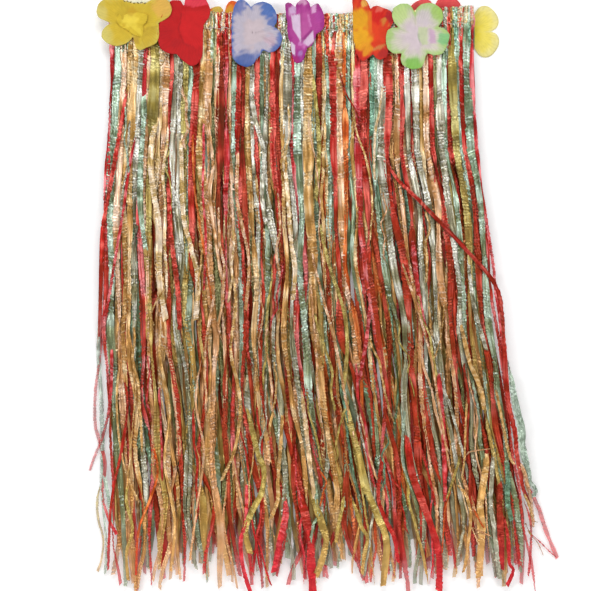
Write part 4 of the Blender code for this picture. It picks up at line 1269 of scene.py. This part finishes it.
def makeFlowerStitches(spec):
    t = np.linspace(0, 1, 60)
    column = np.interp(t, (0, 0.4, 1), spec["columns"])
    row = np.interp(t, (0, 0.4, 1), spec["rows"]) + spec["zigzag"] * np.sin(t * 31)
    height = spec["height"] + spec["wave"] * np.sin(t * 44)
    return makeTube("yellowStitches", place(column, row, height), spec["radius"],
                    threadMaterial("darkThread", spec["thread"]))


makeFlowerStitches(yellowStitches)
for name, spec, nodeName in (("petalsYellow", yellowFlower, "flower_front_yellow"),
                             ("petalsRed", redFlower, "flower_front_red"),
                             ("petalsBlue", blueFlower, "flower_front_blue"),
                             ("petalsMagenta", magentaFlower, "flower_front_magenta"),
                             ("petalsOrange", orangeFlower, "flower_front_orange"),
                             ("petalsGreen", greenFlower, "flower_front_green")):
    makeFlower(name, spec, nodeName)
print("front flowers made")


# Pressed flowers: sewn on the back, flat under the band, only their tips show past it.
def pressedFlower(at, petals, middle, body, rim, seed, patches=()):
    flat = tuple((turn, reach, 0.25) for turn, reach in readPairs(petals))
    return {"seed": seed, "cloth": pressedCloth,
            "layers": ({"at": at, "seat": 0.75, "neck": 0.6, "ruffle": 0.25, "veins": 28, "petals": flat,
                        "middle": middle, "body": body, "rim": rim, "middleTo": 0.35, "rimFrom": 0.8,
                        "soft": 0.16, "patches": patches},)}


backFlowers = (
    ("petalsCream", "flower_back_cream",
     pressedFlower((163, 27), "20:27 92:29 160:27 234:26 306:26", (226, 214, 160), (222, 224, 176),
                   (214, 226, 184), 131)),
    ("petalsGold", "flower_back_gold",
     pressedFlower((222, 33), "16:24 68:35 102:28 180:24 240:26 300:26", (238, 196, 60), (236, 180, 56),
                   (232, 96, 34), 137, ((217, 8, 8, (232, 206, 92), 0.9),))),
    ("petalsViolet", "flower_back_blue",
     pressedFlower((286, 38), "18:24 90:22 162:24 234:26 306:26", (210, 206, 226), (112, 112, 184),
                   (78, 76, 160), 139)),
    ("petalsPink", "flower_back_magenta",
     pressedFlower((350, 38), "18:24 90:22 162:24 234:26 306:26", (232, 206, 228), (198, 92, 172),
                   (170, 50, 140), 149)),
    ("petalsScarlet", "flower_back_red",
     pressedFlower((432, 31), "-8:20 56:41 112:34 190:25 262:26 318:20", (216, 52, 60), (224, 70, 74),
                   (228, 84, 84), 151)),
    ("petalsLemon", "flower_side_yellow",
     pressedFlower((471, 32), "46:32 118:13 180:11 242:14 322:31", (236, 216, 66), (240, 222, 100),
                   (238, 226, 148), 157)),
)
for name, nodeName, spec in backFlowers:
    makeFlower(name, spec, nodeName)
print("back flowers made")


# Camera, floor and light.
studio = {
    # the camera hangs straight over the frame's middle, which is measured a little above the surface
    "height": 2.4, "middle": (295.0, 295.5), "frameRows": 591.0, "sharpHeight": 0.008,
    "floor": (253, 253, 253), "glow": 0.13, "world": 0.28,
    # each soft box: place, size, power
    "boxes": (((0.0, 1.55, 1.75), (1.5, 0.7), 23.0), ((-1.5, 0.1, 1.8), (0.7, 1.5), 18.5),
              ((1.55, -0.1, 1.8), (0.6, 1.4), 12.5), ((0.1, -1.7, 1.7), (1.2, 0.5), 6.5)),
}


def makeStudio(spec):
    middle = place(*spec["middle"], 0.0)
    scene = bpy.context.scene
    lens = bpy.data.cameras.new("camera")
    lens.sensor_width = 36.0
    lens.lens = lens.sensor_width * (spec["height"] - spec["sharpHeight"]) / (spec["frameRows"] * gridStep)
    lens.clip_end = 20.0
    camera = bpy.data.objects.new("camera", lens)
    camera.location = (middle[0], middle[1], spec["height"])
    scene.collection.objects.link(camera)
    scene.camera = camera
    for number, (where, size, power) in enumerate(spec["boxes"]):
        lamp = bpy.data.lights.new("softBox%d" % number, "AREA")
        lamp.shape = "RECTANGLE"
        lamp.size, lamp.size_y = size
        lamp.energy = power
        box = bpy.data.objects.new("softBox%d" % number, lamp)
        box.location = where
        aim = np.array([middle[0], middle[1], 0.0]) - np.array(where)
        box.rotation_euler = (math.atan2(math.hypot(aim[0], aim[1]), -aim[2]), 0.0,
                              math.atan2(aim[1], aim[0]) - math.pi / 2)
        scene.collection.objects.link(box)
    world = bpy.data.worlds.new("studio")
    world.use_nodes = True
    white = (1.0, 1.0, 1.0, 1.0)
    setInputs(world.node_tree.nodes["Background"], {"Color": white, "Strength": spec["world"]})
    scene.world = world
    scene.view_settings.view_transform = "Standard"
    bpy.ops.mesh.primitive_plane_add(size=6.0, location=(0, 0, -0.0002))
    floor = bpy.context.object
    floor.name = "floor"
    paper = newMaterial("paper", {"Base Color": (*dye(*spec["floor"]), 1.0), "Roughness": 0.9,
                                  "Emission Color": white, "Emission Strength": spec["glow"]})[0]
    floor.data.materials.append(paper)


makeStudio(studio)
print("studio made")
